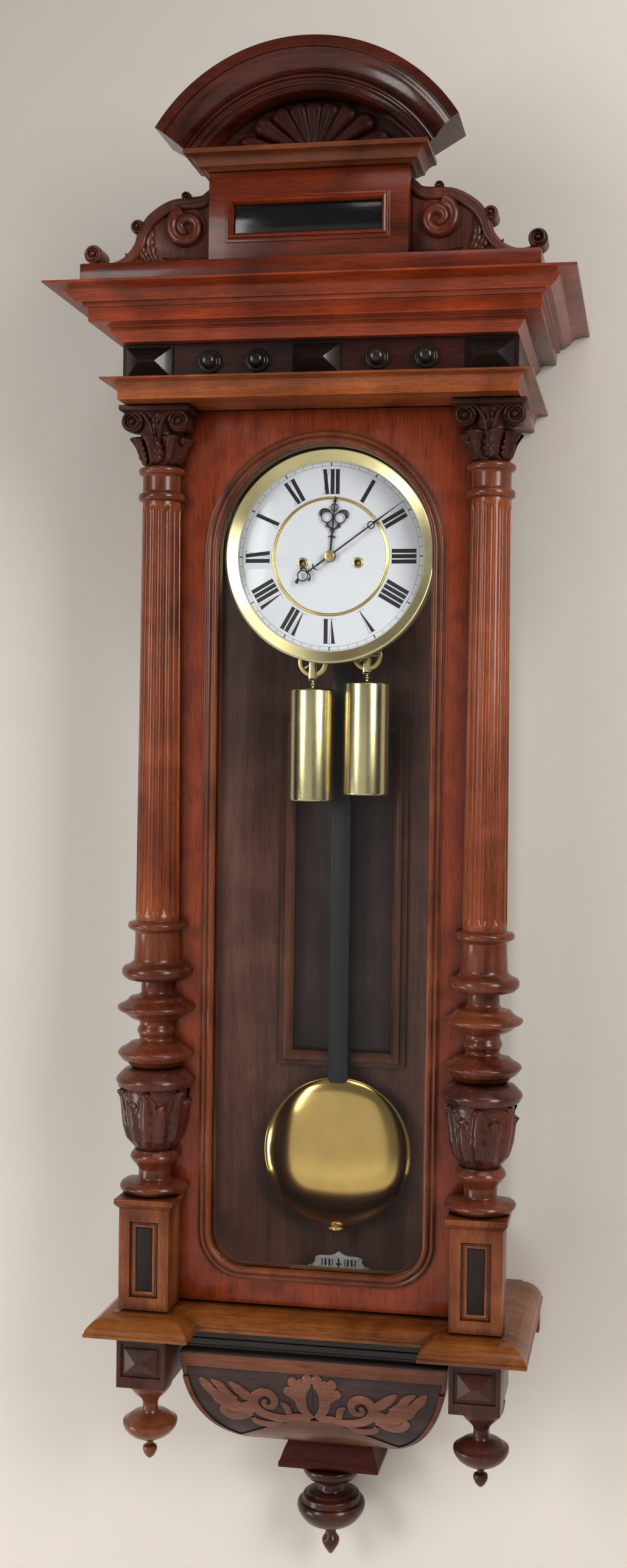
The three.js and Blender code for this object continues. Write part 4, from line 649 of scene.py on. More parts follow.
def black_lacquer():
    """Ebonised wood under thin lacquer, a little dusty."""
    material, tree, where = blank_material("black_lacquered_rod")
    fibre = noise(tree, stretched(tree, where, (900, 900, 30)), 1.0, 3.0)
    dust = noise(tree, where, 60.0, 4.0)
    colour = shaded(tree, (0.016, 0.0165, 0.017), spread(tree, dust, 0.8, 1.3))
    return finished(material, colour, spread(tree, dust, 0.36, 0.52),
        relief(tree, fibre, 0.25, 0.0002), {"Specular IOR Level": 0.3})


lacquer = black_lacquer()
rod_back, rod_front = rod_depth - rod_thick / 2, rod_depth + rod_thick / 2
rod_top, rod_foot = pivot_height - 14, bob_z + bob_radius - 9
rod_outline = eased([(-rod_half, rod_top), (-rod_half, rod_foot + rod_half)], 1).tolist()
rod_outline += ring_line(0, rod_foot + rod_half, rod_half, 180, 360, 15)[1:] + [(rod_half, rod_top)]
slot_hole = rectangle(-1.5, 1.5, -9.5, 6.5)
rod = cut_out([rod_outline, slot_hole], rod_back, rod_front, 1.2)
spring = board(-spring_half, spring_half, rod_depth - 0.6, rod_depth + 0.6, rod_top - 0.4,
    pivot_height, 0.2)
clamp = board(-clamp_half, clamp_half, rod_depth - 3, rod_depth + 3, rod_top - 3, rod_top + 3, 0.6)
thread_top = rod_foot + 6
thread = turned(eased([(0, thread_foot), (thread_radius - 0.8, thread_foot),
        (thread_radius, thread_foot + 1), (thread_radius, thread_top), (0, thread_top)], 0.3), 0,
    rod_depth, 20)
piece("rod_lacquered", rod, lacquer, "pendulum_rod", body="pendulum", slot="ebonised")
piece("rod_spring_and_tail", merged(spring, clamp, thread), bright_steel, body="pendulum",
    slot="steel")

bob_half = [(bob_radius * math.sin(a), bob_swell * math.cos(a) ** 1.15)
    for a in np.linspace(0, math.pi / 2, 22)]
bob_profile = [(r, rod_depth + d) for r, d in bob_half] + [(bob_radius, rod_depth)]
bob_profile += [(r, rod_depth - d) for r, d in bob_half[::-1]]
rim_bead, bob_inset = 1.2, 0.4
bob = turned_forward([(r * (bob_radius - bob_inset) / bob_radius, d) for r, d in bob_profile], 0,
    bob_z, 128)
bob_rim = turned_forward([(bob_radius - rim_bead + rim_bead * math.cos(a),
        rod_depth + rim_bead * math.sin(a)) for a in full_turn(12)], 0, bob_z, 128, loop=True)
bob_brass = metal("bob_brass", (0.80, 0.52, 0.18), 0.14)
piece("bob_lens", merged(bob, bob_rim), bob_brass, "pendulum_bob", body="pendulum", slot="brass",
    crease=60)
nut_top, nut_teeth, nut_cut, nut_rim = bob_z - bob_radius - 0.3, 30, 0.35, 6.5
nut_turn, nut_step = full_turn(nut_teeth * 4), np.arange(nut_teeth * 4) % 4
nut_rings = []
for r, z in ((4.8, -7), (6.6, -6), (7, -5.4), (7, -1.6), (6.6, -1), (4.8, 0)):
    knurl = r - nut_cut * (nut_step < 2) * (r > nut_rim)
    nut_rings.append([(k * math.cos(a), rod_depth + k * math.sin(a), nut_top + z)
            for a, k in zip(nut_turn, knurl)])
piece("rating_nut_knurled", skin(nut_rings), brass, "rating_nut", body="rating_nut", slot="brass")


# The beat plate.
# A small silvered plate screwed to the back board below the pendulum's point, with black
# division marks.

def silvering(name):
    """Silvered brass with an engraved scroll ground of fine dark lines."""
    material, tree, where = blank_material(name)
    wires = {"Vector": where, "Location": (0, 0, 0.701)}
    centred = node(tree, "Mapping", wires).outputs[0]
    swirl = noise(tree, centred, 170.0, 1.0, Distortion=2.0)
    line = sum_up(tree, "ABSOLUTE", sum_up(tree, "SUBTRACT", swirl, 0.5))
    cut = spread(tree, line, 0.35, 1.0, 0.012, 0.03)
    return finished(material, shaded(tree, (0.74, 0.74, 0.71), cut), 0.42,
        relief(tree, cut, 0.3, 0.0002), {"Metallic": 0.35})


plate_foot, plate_top, plate_back, plate_front = -708.5, -693.5, 12.3, 15.0
plate_edge = [(31.5, plate_foot), (31.5, plate_foot + 4), (26.5, plate_foot + 6),
    (24, plate_foot + 9.5), (24.5, plate_top - 2), (20, plate_top), (8, plate_top + 0.6),
    (4, plate_top + 2.4), (0, plate_top + 5)]
marks = [(side * x, half, plate_foot + 5, plate_top - 2.6) for side in (-1, 1)
    for x, half in ((17, 0.6), (13.5, 1), (9.5, 1), (6.5, 0.5))]
marks += [(0, 0.8, plate_foot + 4, plate_top - 1.6), (0, 3, plate_foot + 6.6, plate_foot + 8.2)]
ticks = [board(x - half, x + half, plate_front - 0.3, plate_front + 0.15, foot, top, 0.05)
    for x, half, foot, top in marks]
screws = [turned_forward(eased([(0, plate_front - 0.5), (1.9, plate_front - 0.5),
        (1.9, plate_front + 0.5), (1.2, plate_front + 1), (0, plate_front + 1)], 0.4), x,
        plate_foot + 3.4, 20) for x in (-27, 27)]
piece("beat_plate_engraved", cut_out([symmetric(plate_edge)], plate_back, plate_front, 0.3),
    silvering("silvered_plate"), "beat_plate", slot="silvered")
piece("beat_plate_marks", merged(*ticks), lacquer, slot="ebonised")
piece("beat_plate_screws", merged(*screws), steel, slot="steel")

# The dial.
# A white enamel plate with a brass ring let into it, bold Roman hours, a minute track and two
# brass-bushed winding holes.

dial_back, dial_front, dial_radius, hand_hole, key_hole = 100.0, 102.0, 93.0, 5, 4.2
foot_reach, foot_radius, foot_back = 38, 3, 92.3
winders = ((-26.6, -6.0), (26.6, -6.0))
hour_foot, hour_top, bar, gap, hairline, ink = 58.8, 82.3, 3.8, 1.2, 0.24, 0.1
serif, slant, sunk, track_half = 0.9, bar * 0.95, 0.05, 0.11


def glazed(name, colour, roughness):
    """Fired enamel: milky, glossy, very slightly uneven."""
    material, tree, where = blank_material(name)
    cloud = noise(tree, where, 38.0, 3.0)
    return finished(material, shaded(tree, colour, spread(tree, cloud, 0.965, 1.01)), roughness,
        relief(tree, cloud, 0.05, 0.0006), {"Coat Weight": 0.3, "Coat Roughness": 0.05})


enamel = glazed("white_enamel", (0.76, 0.75, 0.83), 0.25)
numeral_black = glazed("fired_black", (0.013, 0.013, 0.016), 0.3)
hand_black = glazed("black_hand_paint", (0.010, 0.010, 0.012), 0.3)

holes = [(0, 0, hand_hole), *[(x, z, key_hole) for x, z in winders]]
plate = cut_out([ring_line(0, 0, dial_radius, steps=96)]
    + [ring_line(x, z, radius, steps=24) for x, z, radius in holes], dial_back, dial_front, 0.25)
piece("enamel_plate", plate, enamel, "dial", slot="enamel")
ring_profile = [(53.4, 101.6), (53.6, 102.7), (54.6, 102.9), (55.2, 102.5), (55.8, 102.9),
    (56.5, 102.6), (56.7, 101.6)]
grommet = [(3.3, 101.4), (3.3, 102.7), (3.9, 103.1), (5.0, 102.9), (5.3, 102.2), (5.3, 101.4)]
brasswork = [turned_forward(eased(ring_profile, 0.3, 2, True), 0, 0, 96, loop=True)]
brasswork += [turned_forward(eased(grommet, 0.3, 2, True), x, z, 32, loop=True) for x, z in winders]
piece("dial_brasswork", merged(*brasswork), brass, slot="brass")
feet = [disc(x, z, foot_radius, foot_back, dial_back + 0.2, 16) for x in (-foot_reach, foot_reach)
    for z in (-foot_reach, foot_reach)]
piece("dial_feet", merged(*feet), plate_brass, slot="brass")
hour_glyphs = ["I", "II", "III", "IIII", "V", "VI", "VII", "VIII", "IX", "X", "XI", "XII"]
glyph_width = {"I": bar, "V": 6.0, "X": 6.2}
numerals = []
for hour, glyphs in enumerate(hour_glyphs, 1):
    start = -(sum(glyph_width[g] for g in glyphs) + gap * (len(glyphs) - 1)) / 2
    strokes = [rectangle(start - serif, serif - start, z, z + hairline)
        for z in (hour_foot, hour_top - hairline)]
    for g in glyphs:
        wide = glyph_width[g]
        if g == "I":
            strokes.append(rectangle(start, start + bar, hour_foot, hour_top))
        else:
            left, right_foot, hair = ((wide - slant, wide, 0.1) if g == "X"
                else (wide * 0.58, wide * 0.66, wide * 0.6))
            strokes.append([(start + left, hour_foot), (start + right_foot, hour_foot),
                    (start + slant, hour_top), (start, hour_top)])
            strokes.append([(start + hair, hour_foot), (start + hair + hairline, hour_foot),
                    (start + wide, hour_top), (start + wide - hairline, hour_top)])
        start += wide + gap
    numerals += [turned_about(slab(stroke, dial_front - sunk, dial_front + ink), 30 * hour)
        for stroke in strokes]
for radius in (85.3, 88.6):
    section = rectangle(radius - track_half, radius + track_half, dial_front - sunk,
        dial_front + ink)
    numerals.append(turned_forward(section, 0, 0, 180, loop=True))
piece("dial_numerals", merged(*numerals), numeral_black, slot="black_metal")


def ring_of_marks_tree():
    """A bar at each of a number of places round a circle that faces the viewer."""
    tree, given = growing_tree("ring_of_marks", (("Start", "Geometry"), ("Count", "Int"),
            ("Radius", "Float"), ("Size", "Vector"), ("Depth", "Float")))
    circle = grow(tree, "MeshCircle", {"Vertices": given["Count"], "Radius": given["Radius"]})
    forward = node(tree, "CombineXYZ", {"Y": given["Depth"]}).outputs[0]
    circle = grow(tree, "Transform", {"Geometry": circle, "Translation": forward,
            "Rotation": (math.pi / 2, 0, 0)})
    share = sum_up(tree, "DIVIDE", grow(tree, "InputIndex"), given["Count"])
    angle = sum_up(tree, "MULTIPLY", share, -2 * math.pi)
    turn_each = node(tree, "CombineXYZ", {"Y": angle}).outputs[0]
    bar_mesh = grow(tree, "MeshCube", {"Size": given["Size"]})
    return end_tree(tree, given, grow(tree, "InstanceOnPoints",
            {"Points": circle, "Instance": bar_mesh, "Rotation": turn_each}))


marks_tree = ring_of_marks_tree()
for name, count, radius, size in (("minute_marks", 60, 86.95, (0.0033, 0.00012, 0.00032)),
        ("hour_marks", 12, 86.9, (0.0036, 0.00016, 0.00105))):
    grown(name, marks_tree, bpy.data.meshes.new(name),
        {"Count": count, "Radius": radius / 1000, "Size": size,
            "Depth": -(dial_front + 0.04) / 1000, "Finish": numeral_black}, slot="black_metal")

# The bezel.
# One spun brass ring, broad and slightly hollow across its face, with a fine step where it meets
# the enamel.

bezel_profile = [(93.3, 97), (101.2, 97), (101.2, 107.8), (100.5, 108.8), (99.4, 109),
    (98.4, 108.5), (90.6, 103.4), (89.7, 102.9), (89.6, 102.2), (93.3, 102.1)]
bezel_brass = metal("bezel_brass", (0.80, 0.68, 0.38), 0.3, 0.3)
piece("spun_bezel", turned_forward(eased(bezel_profile, 0.8, 2, True), 0, 0, 160, loop=True),
    bezel_brass, "bezel", slot="brass", crease=50)


# The hands.
# Black steel, sawn and pierced: the hour hand has two eyes and hooked scrolls, the minute hand is
# a long needle with a pierced tail.

def vine(line, widths, base, height, groove=0.0, sink=0.4, power=2):
    """A rib along a line in the front plane, rounded across, with a groove down it if wanted. The
    widths are half widths. The base is a depth, or a function that gives it at each place."""
    line = np.asarray(line, float)
    shares_along = np.linspace(0, 1, len(line))
    width = np.interp(shares_along, np.linspace(0, 1, len(widths)), widths)
    way = np.gradient(line, axis=0)
    way /= np.linalg.norm(way, axis=1)[:, None] + 1e-9
    side = np.column_stack([-way[:, 1], way[:, 0]])
    across = np.array([-1, -0.92, -0.7, -0.38, -0.12, 0, 0.12, 0.38, 0.7, 0.92, 1])
    rise = np.sqrt(np.clip(1 - np.abs(across) ** power, 0, 1))
    rise *= 1 - groove * np.exp(-(across / 0.2) ** 2)
    rings = []
    for point, normal, half in zip(line, side, width):
        spots = point + across[:, None] * half * normal
        tall = height * min(1, 0.25 + 0.75 * half / max(widths))
        ground = [base(x, z) if callable(base) else base for x, z in spots]
        ring = [(x, g + tall * r, z) for (x, z), g, r in zip(spots, ground, rise)]
        ends = [(x, g - sink, z) for (x, z), g in ((spots[-1], ground[-1]), (spots[0], ground[0]))]
        rings.append(ring + ends)
    return skin(rings)


def flowing(points, steps=7):
    """A smooth line through the given points."""
    points = np.array([points[0], *points, points[-1]], float)
    line = []
    for a, b, c, d in zip(points, points[1:], points[2:], points[3:]):
        for t in np.linspace(0, 1, steps, endpoint=False):
            line.append((2 * b + (c - a) * t + (2 * a - 5 * b + 4 * c - d) * t * t
                    + (3 * b - a - 3 * c + d) * t ** 3) / 2)
    return np.array(line + [points[-1]])


def curl(x, z, outer, inner, start, end, steps=30):
    """A spiral line that winds in from its outer radius, in degrees above the right."""
    share = np.linspace(0, 1, steps)
    radius = outer + (inner - outer) * share
    angle = np.radians(start + (end - start) * share)
    return np.column_stack([x + radius * np.cos(angle), z + radius * np.sin(angle)])


def dome(x, z, radius, base, height, sides=24):
    across = np.linspace(0, math.pi / 2, 6)
    profile = [(0, base - 0.4), (radius, base - 0.4)]
    profile += [(radius * math.cos(a), base + height * math.sin(a)) for a in across]
    return turned_forward(profile, x, z, sides)


def eye_ring(x, z, radius, hole, back, front):
    return turned_forward(eased([(hole, back), (radius, back), (radius, front), (hole, front)],
            0.35, 2, True), x, z, 36, loop=True)


hand_thick, hour_back, minute_back, hour_angle, minute_angle = 1.2, 103.4, 106.6, 4.7, 54
hour_front = hour_back + hand_thick
hook = [0.3, 0.8, 1.1, 0.8, 0.3]


def hand(back, blades, rings, ribs, knobs):
    """A sawn hand on its centre line; the rings, ribs and knobs off the line come in pairs."""
    front = back + hand_thick
    parts = [slab(symmetric(blade), back, front) for blade in blades]
    for side in (-1, 1):
        flip = np.array([side, 1])
        parts += [eye_ring(side * x, z, radius, hole, back, front) for x, z, radius, hole in rings
            if x or side > 0]
        parts += [vine(np.array(line) * flip, widths, back, hand_thick) for line, widths in ribs
            if line[0][0] > 0 or side > 0]
        parts += [dome(side * x, z, radius, back, hand_thick) for x, z, radius in knobs]
    return parts


hour_blade = [(0.75, 0), (0.9, 16), (0.6, 24), (0.8, 32), (0.5, 48), (0.7, 50.5), (1.5, 52.2),
    (0.8, 54), (0.12, 57)]
hour_rings = [(0, 0, 5.4, 3), (0, 24.6, 2.6, 1.7), (0, 46, 3.9, 2.9), (6.4, 36.8, 5.8, 4.7)]
hour_ribs = [([(-4, 18.2), (-1.6, 18.8), (0, 19.2), (1.6, 18.8), (4, 18.2)], hook)]
hour_ribs += [(curl(9, 38.4, 6.2, 4.4, 150, 10), [0.4, 0.9, 1.5, 1.1])]
hour_ribs += [([(0.6, 24.8), (2.2, 26.6), (4.4, 27.8), (5.8, 29.6), (4.6, 32)],
        [0.5, 0.7, 1.1, 1.7, 0.7])]
hour_knobs = [(12.6, 38.3, 1.5), (5.4, 29.2, 1.9)]
hour_parts = hand(hour_back, [hour_blade], hour_rings, hour_ribs, hour_knobs)
pipe = turned_forward([(3, 92.8), (4.3, 92.8), (4.3, hour_front), (3, hour_front)], 0, 0, 32,
    loop=True)
piece("hour_hand_pierced", turned_about(merged(*hour_parts, pipe), hour_angle), hand_black,
    "hour_hand", body="hour_hand", slot="black_metal")
minute_blade = [(0.7, 0), (0.62, 44), (0.5, 50), (1.3, 54), (0.75, 57), (0.5, 66), (0.14, 87)]
minute_tail = [(0.8, -26), (0.55, -17), (0.8, -14), (0.7, 0)]
minute_rings = [(0, 49, 3.8, 2.7), (0, -31.5, 5.6, 4.4)]
minute_ribs = [([(-4.2, -17.2), (-1.6, -18.4), (0, -18.8), (1.6, -18.4), (4.2, -17.2)], hook)]
minute_ribs += [([(0, -36.6), (0.4, -38.4), (1.4, -39.8), (3, -40.2)], [1.1, 1.7, 1.9, 0.9])]
minute_ribs += [([(0.6, -25.6), (3.4, -25.4), (5.6, -26.6), (6.6, -28.8)], [0.5, 0.7, 0.9, 1.3])]
minute_knobs = [(6.6, -28.8, 1.4)]
minute_parts = hand(minute_back, [minute_blade, minute_tail], minute_rings, minute_ribs,
    minute_knobs)
piece("minute_hand_needle", turned_about(merged(*minute_parts), minute_angle), hand_black,
    "minute_hand", body="minute_hand", slot="black_metal")
collet = turned_forward(eased([(0, 88), (2.3, 88), (2.3, 106), (5.1, 106.1), (5.1, 107.6),
        (4.6, 108.6), (2.6, 109), (0, 109)], 0.4), 0, 0, 40)
piece("minute_collet", collet, plate_brass, body="minute_hand", slot="brass")
arbors = [turned_forward(eased([(0, 95), (1.9, 95), (1.9, 98.6), (1.5, 99), (0, 99)], 0.3), x, z,
        12) for x, z in winders]
for side, arbor in zip(("left", "right"), arbors):
    piece("winding_square_" + side, arbor, bright_steel, body="drum_" + side, slot="steel")


# The door: veneered frame, bead moulding, pane and knuckles.
# Burr walnut laid over a solid frame with a round-headed opening, and a double bead planted
# round it.

dark_shades = ((0.014, 0.0042, 0.0030), (0.040, 0.0100, 0.0064), (0.076, 0.0185, 0.0115))
door_burr = wood("burr_walnut_veneer", ((0.116, 0.0164, 0.00443), (0.179, 0.0262, 0.00651),
        (0.218, 0.0359, 0.00871)), "Z", 3.2, across=17.0, gloss=0.24, coat=0.5, fibres=0.07)
moulding_wood = wood("moulding_walnut", ((0.05, 0.0104, 0.004125), (0.125, 0.0288, 0.0105),
        (0.2, 0.0528, 0.0195)), "Z", 0.7)
carved_wood = wood("carved_dark_walnut", dark_shades, "Z", 0.5, gloss=0.38, grime_and_shade_reach=0.006, coat=0.1,
    shine=0.14)
cross_dark_wood = wood("cross_dark_walnut", dark_shades, "X", 0.5, gloss=0.27, grime_and_shade_reach=0.006,
    coat=0.45)
vase_wood = wood("carved_vase_walnut", ((0.022, 0.0056, 0.0036), (0.066, 0.0150, 0.0088),
        (0.125, 0.0300, 0.0170)), "Z", 0.5, gloss=0.24, grime_and_shade_reach=0.005, coat=0.5)
strip_wood = wood("black_strip", ((0.007, 0.004, 0.0035), (0.013, 0.007, 0.006),
        (0.02, 0.011, 0.009)), "Z", 0.3, gloss=0.65, coat=0.0)
turned_wood = wood("turned_walnut", ((0.0906, 0.0163, 0.00456), (0.199, 0.0415, 0.0125),
        (0.302, 0.0726, 0.023)), "Z", 0.6, **polished)
pedestal_wood = wood("pedestal_walnut", ((0.0744, 0.0165, 0.00465), (0.18, 0.046, 0.0128),
        (0.276, 0.08, 0.0232)), "Z", 0.7)
necking_wood = wood("necking_walnut", ((0.0515, 0.00966, 0.00361), (0.118, 0.0257, 0.00997),
        (0.179, 0.0451, 0.0181)), "Z", 0.6, **polished)

door_half, door_back, door_front, door_top, door_foot = 155.0, 107.0, 129.0, 133.1, -707.0
opening_half, opening_foot, opening_corner, hinge_axis = 101.3, -672.0, 32.0, -158.4
bead_width, bead_stand = 12.7, 4.6
hinge_heights, knuckle_near, knuckle_far = (43.0, -617.0), 10.3, 19.3


def opening_line(reach):
    half, corner = opening_half + reach, opening_corner + reach
    foot = opening_foot - reach + corner
    return np.array(ring_line(0, 0, half, 0, 180, 97)[:-1] + [(-half, 0)]
        + ring_line(corner - half, foot, corner, 180, 270, 14)[:-1]
        + [(corner - half, foot - corner)]
        + ring_line(half - corner, foot, corner, 270, 359.99, 14))


door_edge = rectangle(-door_half, door_half, door_foot, door_top)
veneer_back = 125.3
piece("door_veneered_face", cut_out([door_edge, opening_line(0)], veneer_back, door_front, 0.5),
    door_burr, "door_frame", body="door")
piece("door_backing", cut_out([door_edge, opening_line(6)], door_back, veneer_back, 0.4), case_wood,
    body="door")
bead_profile = [(0, -3.2), (0, 0.35), (0.05, 0.66), (0.14, 0.92), (0.25, 1), (0.37, 0.93),
    (0.45, 0.74), (0.5, 0.5), (0.53, 0.38), (0.58, 0.4), (0.64, 0.56), (0.72, 0.63), (0.8, 0.58),
    (0.86, 0.42), (0.89, 0.2), (1, 0.12), (1, -0.2)]
beads = [[(x, door_front + bead_stand * stand, z) for x, z in opening_line(bead_width * reach)]
    for reach, stand in bead_profile]
piece("door_bead_moulding", skin(beads, loop=True), moulding_wood, body="door", crease=50)
reshade(glass, "door_glass")
knuckles = []
for hinge in hinge_heights:
    for side in (-1, 1):
        foot, top = sorted((hinge + side * knuckle_near, hinge + side * knuckle_far))
        barrel = eased([(1.7, foot), (3, foot), (3, top), (1.7, top)], 0.5, 2, True)
        knuckles.append(turned(barrel, hinge_axis, door_back, 24, loop=True))
        knuckles.append(board(-door_half - 1.6, -door_half + 0.5, door_back, door_back + 2.6,
                foot + 0.2, top - 0.2, 0.2))
piece("door_knuckles", merged(*knuckles), brass, body="door", slot="brass")


# The pedestals of the columns.
# Square blocks with a sunk panel on the front, a dark strip down the middle of it, and a moulded
# cap.

column_x, column_depth, facing = 155.4, 134.0, 129.3
ped_inner, ped_outer, ped_front, ped_foot, ped_top = 131.4, 179.8, 166.0, -708.0, -603.8
sunk_face, strip_inner, strip_outer, strip_foot, strip_top = 163.0, 148.2, 163.0, -690, -631
sunk_margin, sunk_foot, sunk_top = 10.5, -696, -625.2
shank = ped_foot + (ped_top - ped_foot) * 0.91


def front_box(inner, outer, front):
    def plan(reach):
        outline = rectangle(inner - reach, outer + reach, facing, front + reach)
        return eased(outline, 0.7, 2, True)
    return plan


cap_levels = eased([(0, shank), (0.3, shank + 0.6), (1.6, shank + 1.6), (2.6, shank + 3.4),
        (4, shank + 4.4), (4, ped_top - 0.8), (3.4, ped_top)], 1)
pedestal = merged(board(ped_inner, ped_outer, facing, sunk_face, ped_foot, shank, 0.5),
    moulding(front_box(ped_inner, ped_outer, ped_front), cap_levels))
panel_edge = rectangle(ped_inner, ped_outer, ped_foot, shank)
panel_hole = rectangle(ped_inner + sunk_margin, ped_outer - sunk_margin, sunk_foot, sunk_top)
panel_face = cut_out([panel_edge, panel_hole], sunk_face - 0.4, ped_front, 0.6)

small_bead = [(0, -0.2), (0, 0.4), (0.15, 0.8), (0.4, 1), (0.65, 0.8), (0.75, 0.4), (1, 0.3),
    (1, -0.2)]
inlay = board(strip_inner, strip_outer, sunk_face - 0.4, sunk_face + 1.2, strip_foot, strip_top,
    0.5)
inlay_frame = planted_frame(strip_inner - 0.4, strip_outer + 0.4, strip_foot - 0.4, strip_top + 0.4,
    small_bead, 4, 2.4, sunk_face)
for side, turn_over in both_sides:
    piece("pedestal_block_" + side, turn_over(merged(pedestal, panel_face, inlay_frame)),
        pedestal_wood, "pedestal_" + side, body="door")
    piece("pedestal_strip_" + side, turn_over(inlay), strip_wood, body="door", slot="dark_walnut")

# The columns.
# Fluted shafts between turned neckings, a spindle of thick discs, and a carved vase at the foot.

column_reach, vase_height, spindle_height, drum_height, neck_height = 37.5, 119.5, 78, 61, 33.2
shaft_height, flute_count, flute_depth, leaf_count = 391.8, 16, 1.7, 6
vase_foot, spindle_foot, drum_foot, shaft_foot, neck_foot = -603.5, -484.0, -406.0, -345.0, 46.8
vase_shares = [(0.72, 0), (0.80, 0.008), (0.853, 0.029), (0.883, 0.054), (0.84, 0.079), (0.72, 0.1),
    (0.42, 0.11), (0.408, 0.125), (0.416, 0.188), (0.48, 0.22), (0.573, 0.255), (0.629, 0.285),
    (0.6, 0.31), (0.52, 0.339), (0.6, 0.385), (0.677, 0.431), (0.74, 0.49), (0.787, 0.548),
    (0.815, 0.62), (0.84, 0.699), (0.86, 0.76), (0.88, 0.808), (0.867, 0.841), (0.93, 0.85),
    (0.96, 0.866), (1, 0.896), (0.97, 0.92), (0.88, 0.95), (0.773, 0.983), (0.587, 1)]
spindle_shares = [(0.587, 0), (0.66, 0.02), (0.747, 0.064), (0.85, 0.09), (0.907, 0.128),
    (0.95, 0.15), (0.963, 0.179), (0.9, 0.215), (0.747, 0.256), (0.64, 0.295), (0.44, 0.315),
    (0.416, 0.345), (0.43, 0.372), (0.47, 0.41), (0.485, 0.436), (0.46, 0.47), (0.427, 0.5),
    (0.427, 0.551), (0.587, 0.577), (0.72, 0.615), (0.8, 0.654), (0.933, 0.679), (0.981, 0.71),
    (0.97, 0.74), (0.8, 0.782), (0.72, 0.808), (0.667, 0.846), (0.45, 0.866), (0.395, 0.9),
    (0.395, 1)]
drum_shares = [(0.395, 0), (0.395, 0.045), (0.62, 0.057), (0.76, 0.08), (0.848, 0.131),
    (0.88, 0.18), (0.87, 0.235), (0.827, 0.279), (0.693, 0.311), (0.61, 0.345), (0.585, 0.38),
    (0.581, 0.41), (0.565, 0.6), (0.555, 0.8), (0.62, 0.835), (0.693, 0.852), (0.735, 0.88),
    (0.744, 0.91), (0.735, 0.94), (0.69, 0.967), (0.56, 0.985), (0.549, 1)]
neck_shares = [(0.485, 0), (0.51, 0.02), (0.56, 0.045), (0.585, 0.09), (0.589, 0.148),
    (0.573, 0.22), (0.5, 0.27), (0.483, 0.3), (0.483, 0.7), (0.5, 0.745), (0.56, 0.78),
    (0.588, 0.84), (0.592, 0.88), (0.58, 0.93), (0.52, 0.965), (0.453, 1)]


def flat_backed(shape):
    """The back is planed flat where it is planted on the door."""
    points, faces = shape
    points = np.array(points)
    points[:, 1] = np.maximum(points[:, 1], facing)
    return points, faces


def carved(profile, pattern, sides=144):
    """Turned work that is then carved: the pattern adds to the radius by angle and height."""
    turn = full_turn(sides)
    rings = []
    for radius, z in profile:
        reach = radius + pattern(turn, z)
        across, forward = column_x + reach * np.cos(turn), column_depth + reach * np.sin(turn)
        rings.append(np.column_stack([across, forward, np.full(sides, z)]))
    return skin(rings)


def fluting(angle, z):
    along = np.clip(min(z - shaft_foot - 5, neck_foot - 5 - z) / 8, 0, 1)
    share = (angle * flute_count / (2 * math.pi)) % 1
    scoop = np.sqrt(np.clip(1 - ((share - 0.5) / 0.36) ** 2, 0, 1))
    return -flute_depth * math.sqrt(along * (2 - along)) * scoop


def bowl_leaves(angle, z):
    """Two ranks of pointed leaves that clasp the bowl of the vase."""
    rise = (z - vase_foot) / vase_height
    stand = 0.0
    for foot, top, offset, height in ((0.34, 0.86, 0.0, 4.6), (0.34, 0.76, 0.5, 3.4)):
        along = np.clip((rise - foot) / (top - foot), 0, 1)
        half = (0.30 + 0.62 * math.sin(math.pi * min(along * 0.62 + 0.2, 1))) * (1 - along ** 5)
        half *= 0.84 + 0.16 * abs(math.cos(5 * math.pi * along))
        away = np.abs((angle * leaf_count / (2 * math.pi) + offset) % 1 - 0.5) * 2
        spread = away / max(half, 1e-3)
        blade = np.sqrt(np.clip(1 - spread ** 2, 0, 1)) * (0 < along < 1)
        flutes = 0.62 + 0.38 * np.cos(2 * math.pi * spread ** 1.3)
        curl_out = 2.4 * math.exp(-((along - 0.92) / 0.07) ** 2)
        stand = np.maximum(stand, (height * flutes + curl_out) * blade
            * min(1, 5 * along, 12 * (1 - along)))
    return stand - (2.8 if 0.345 < rise < 0.84 else 0.0)


shaft_end = shaft_height - 14
shaft_heights = np.concatenate([np.linspace(0, 14, 9), np.linspace(14, shaft_end, 12)[1:-1],
        np.linspace(shaft_end, shaft_height, 9)])
shaft_profile = [(20.6 - 2.4 * h / shaft_height, shaft_foot + h) for h in shaft_heights]
shaft = flat_backed(carved(shaft_profile, fluting, 256))
neckings = [turned(eased(shares(table, column_reach, height, foot), 0.9, 2), column_x, column_depth)
    for table, height, foot in ((neck_shares, neck_height, neck_foot),
        (drum_shares, drum_height, drum_foot), (spindle_shares, spindle_height, spindle_foot))]
vase_profile = shares(vase_shares, column_reach, vase_height, vase_foot)
vase_knots = np.array(vase_profile)
vase_waist = vase_foot + 0.339 * vase_height
vase_steps = np.linspace(vase_waist - 0.5, spindle_foot, 90)
vase = carved([(np.interp(z, vase_knots[:, 1], vase_knots[:, 0]), z) for z in vase_steps],
    bowl_leaves, 196)
neckings.append(turned(eased([(r, z) for r, z in vase_profile if z <= vase_waist + 0.1], 0.9, 2),
        column_x, column_depth))
for side, turn_over in both_sides:
    piece("column_shaft_" + side, turn_over(shaft), turned_wood, "column_" + side, body="door",
        crease=24)
    piece("column_turnings_" + side, turn_over(merged(*map(flat_backed, neckings))), necking_wood,
        body="door")
    piece("column_vase_" + side, turn_over(flat_backed(vase)), vase_wood, body="door",
        slot="dark_walnut", crease=50)

# The capitals.
# A bell wrapped in seven curling leaves, a scroll at each front corner, a leaf between them and a
# moulded top.


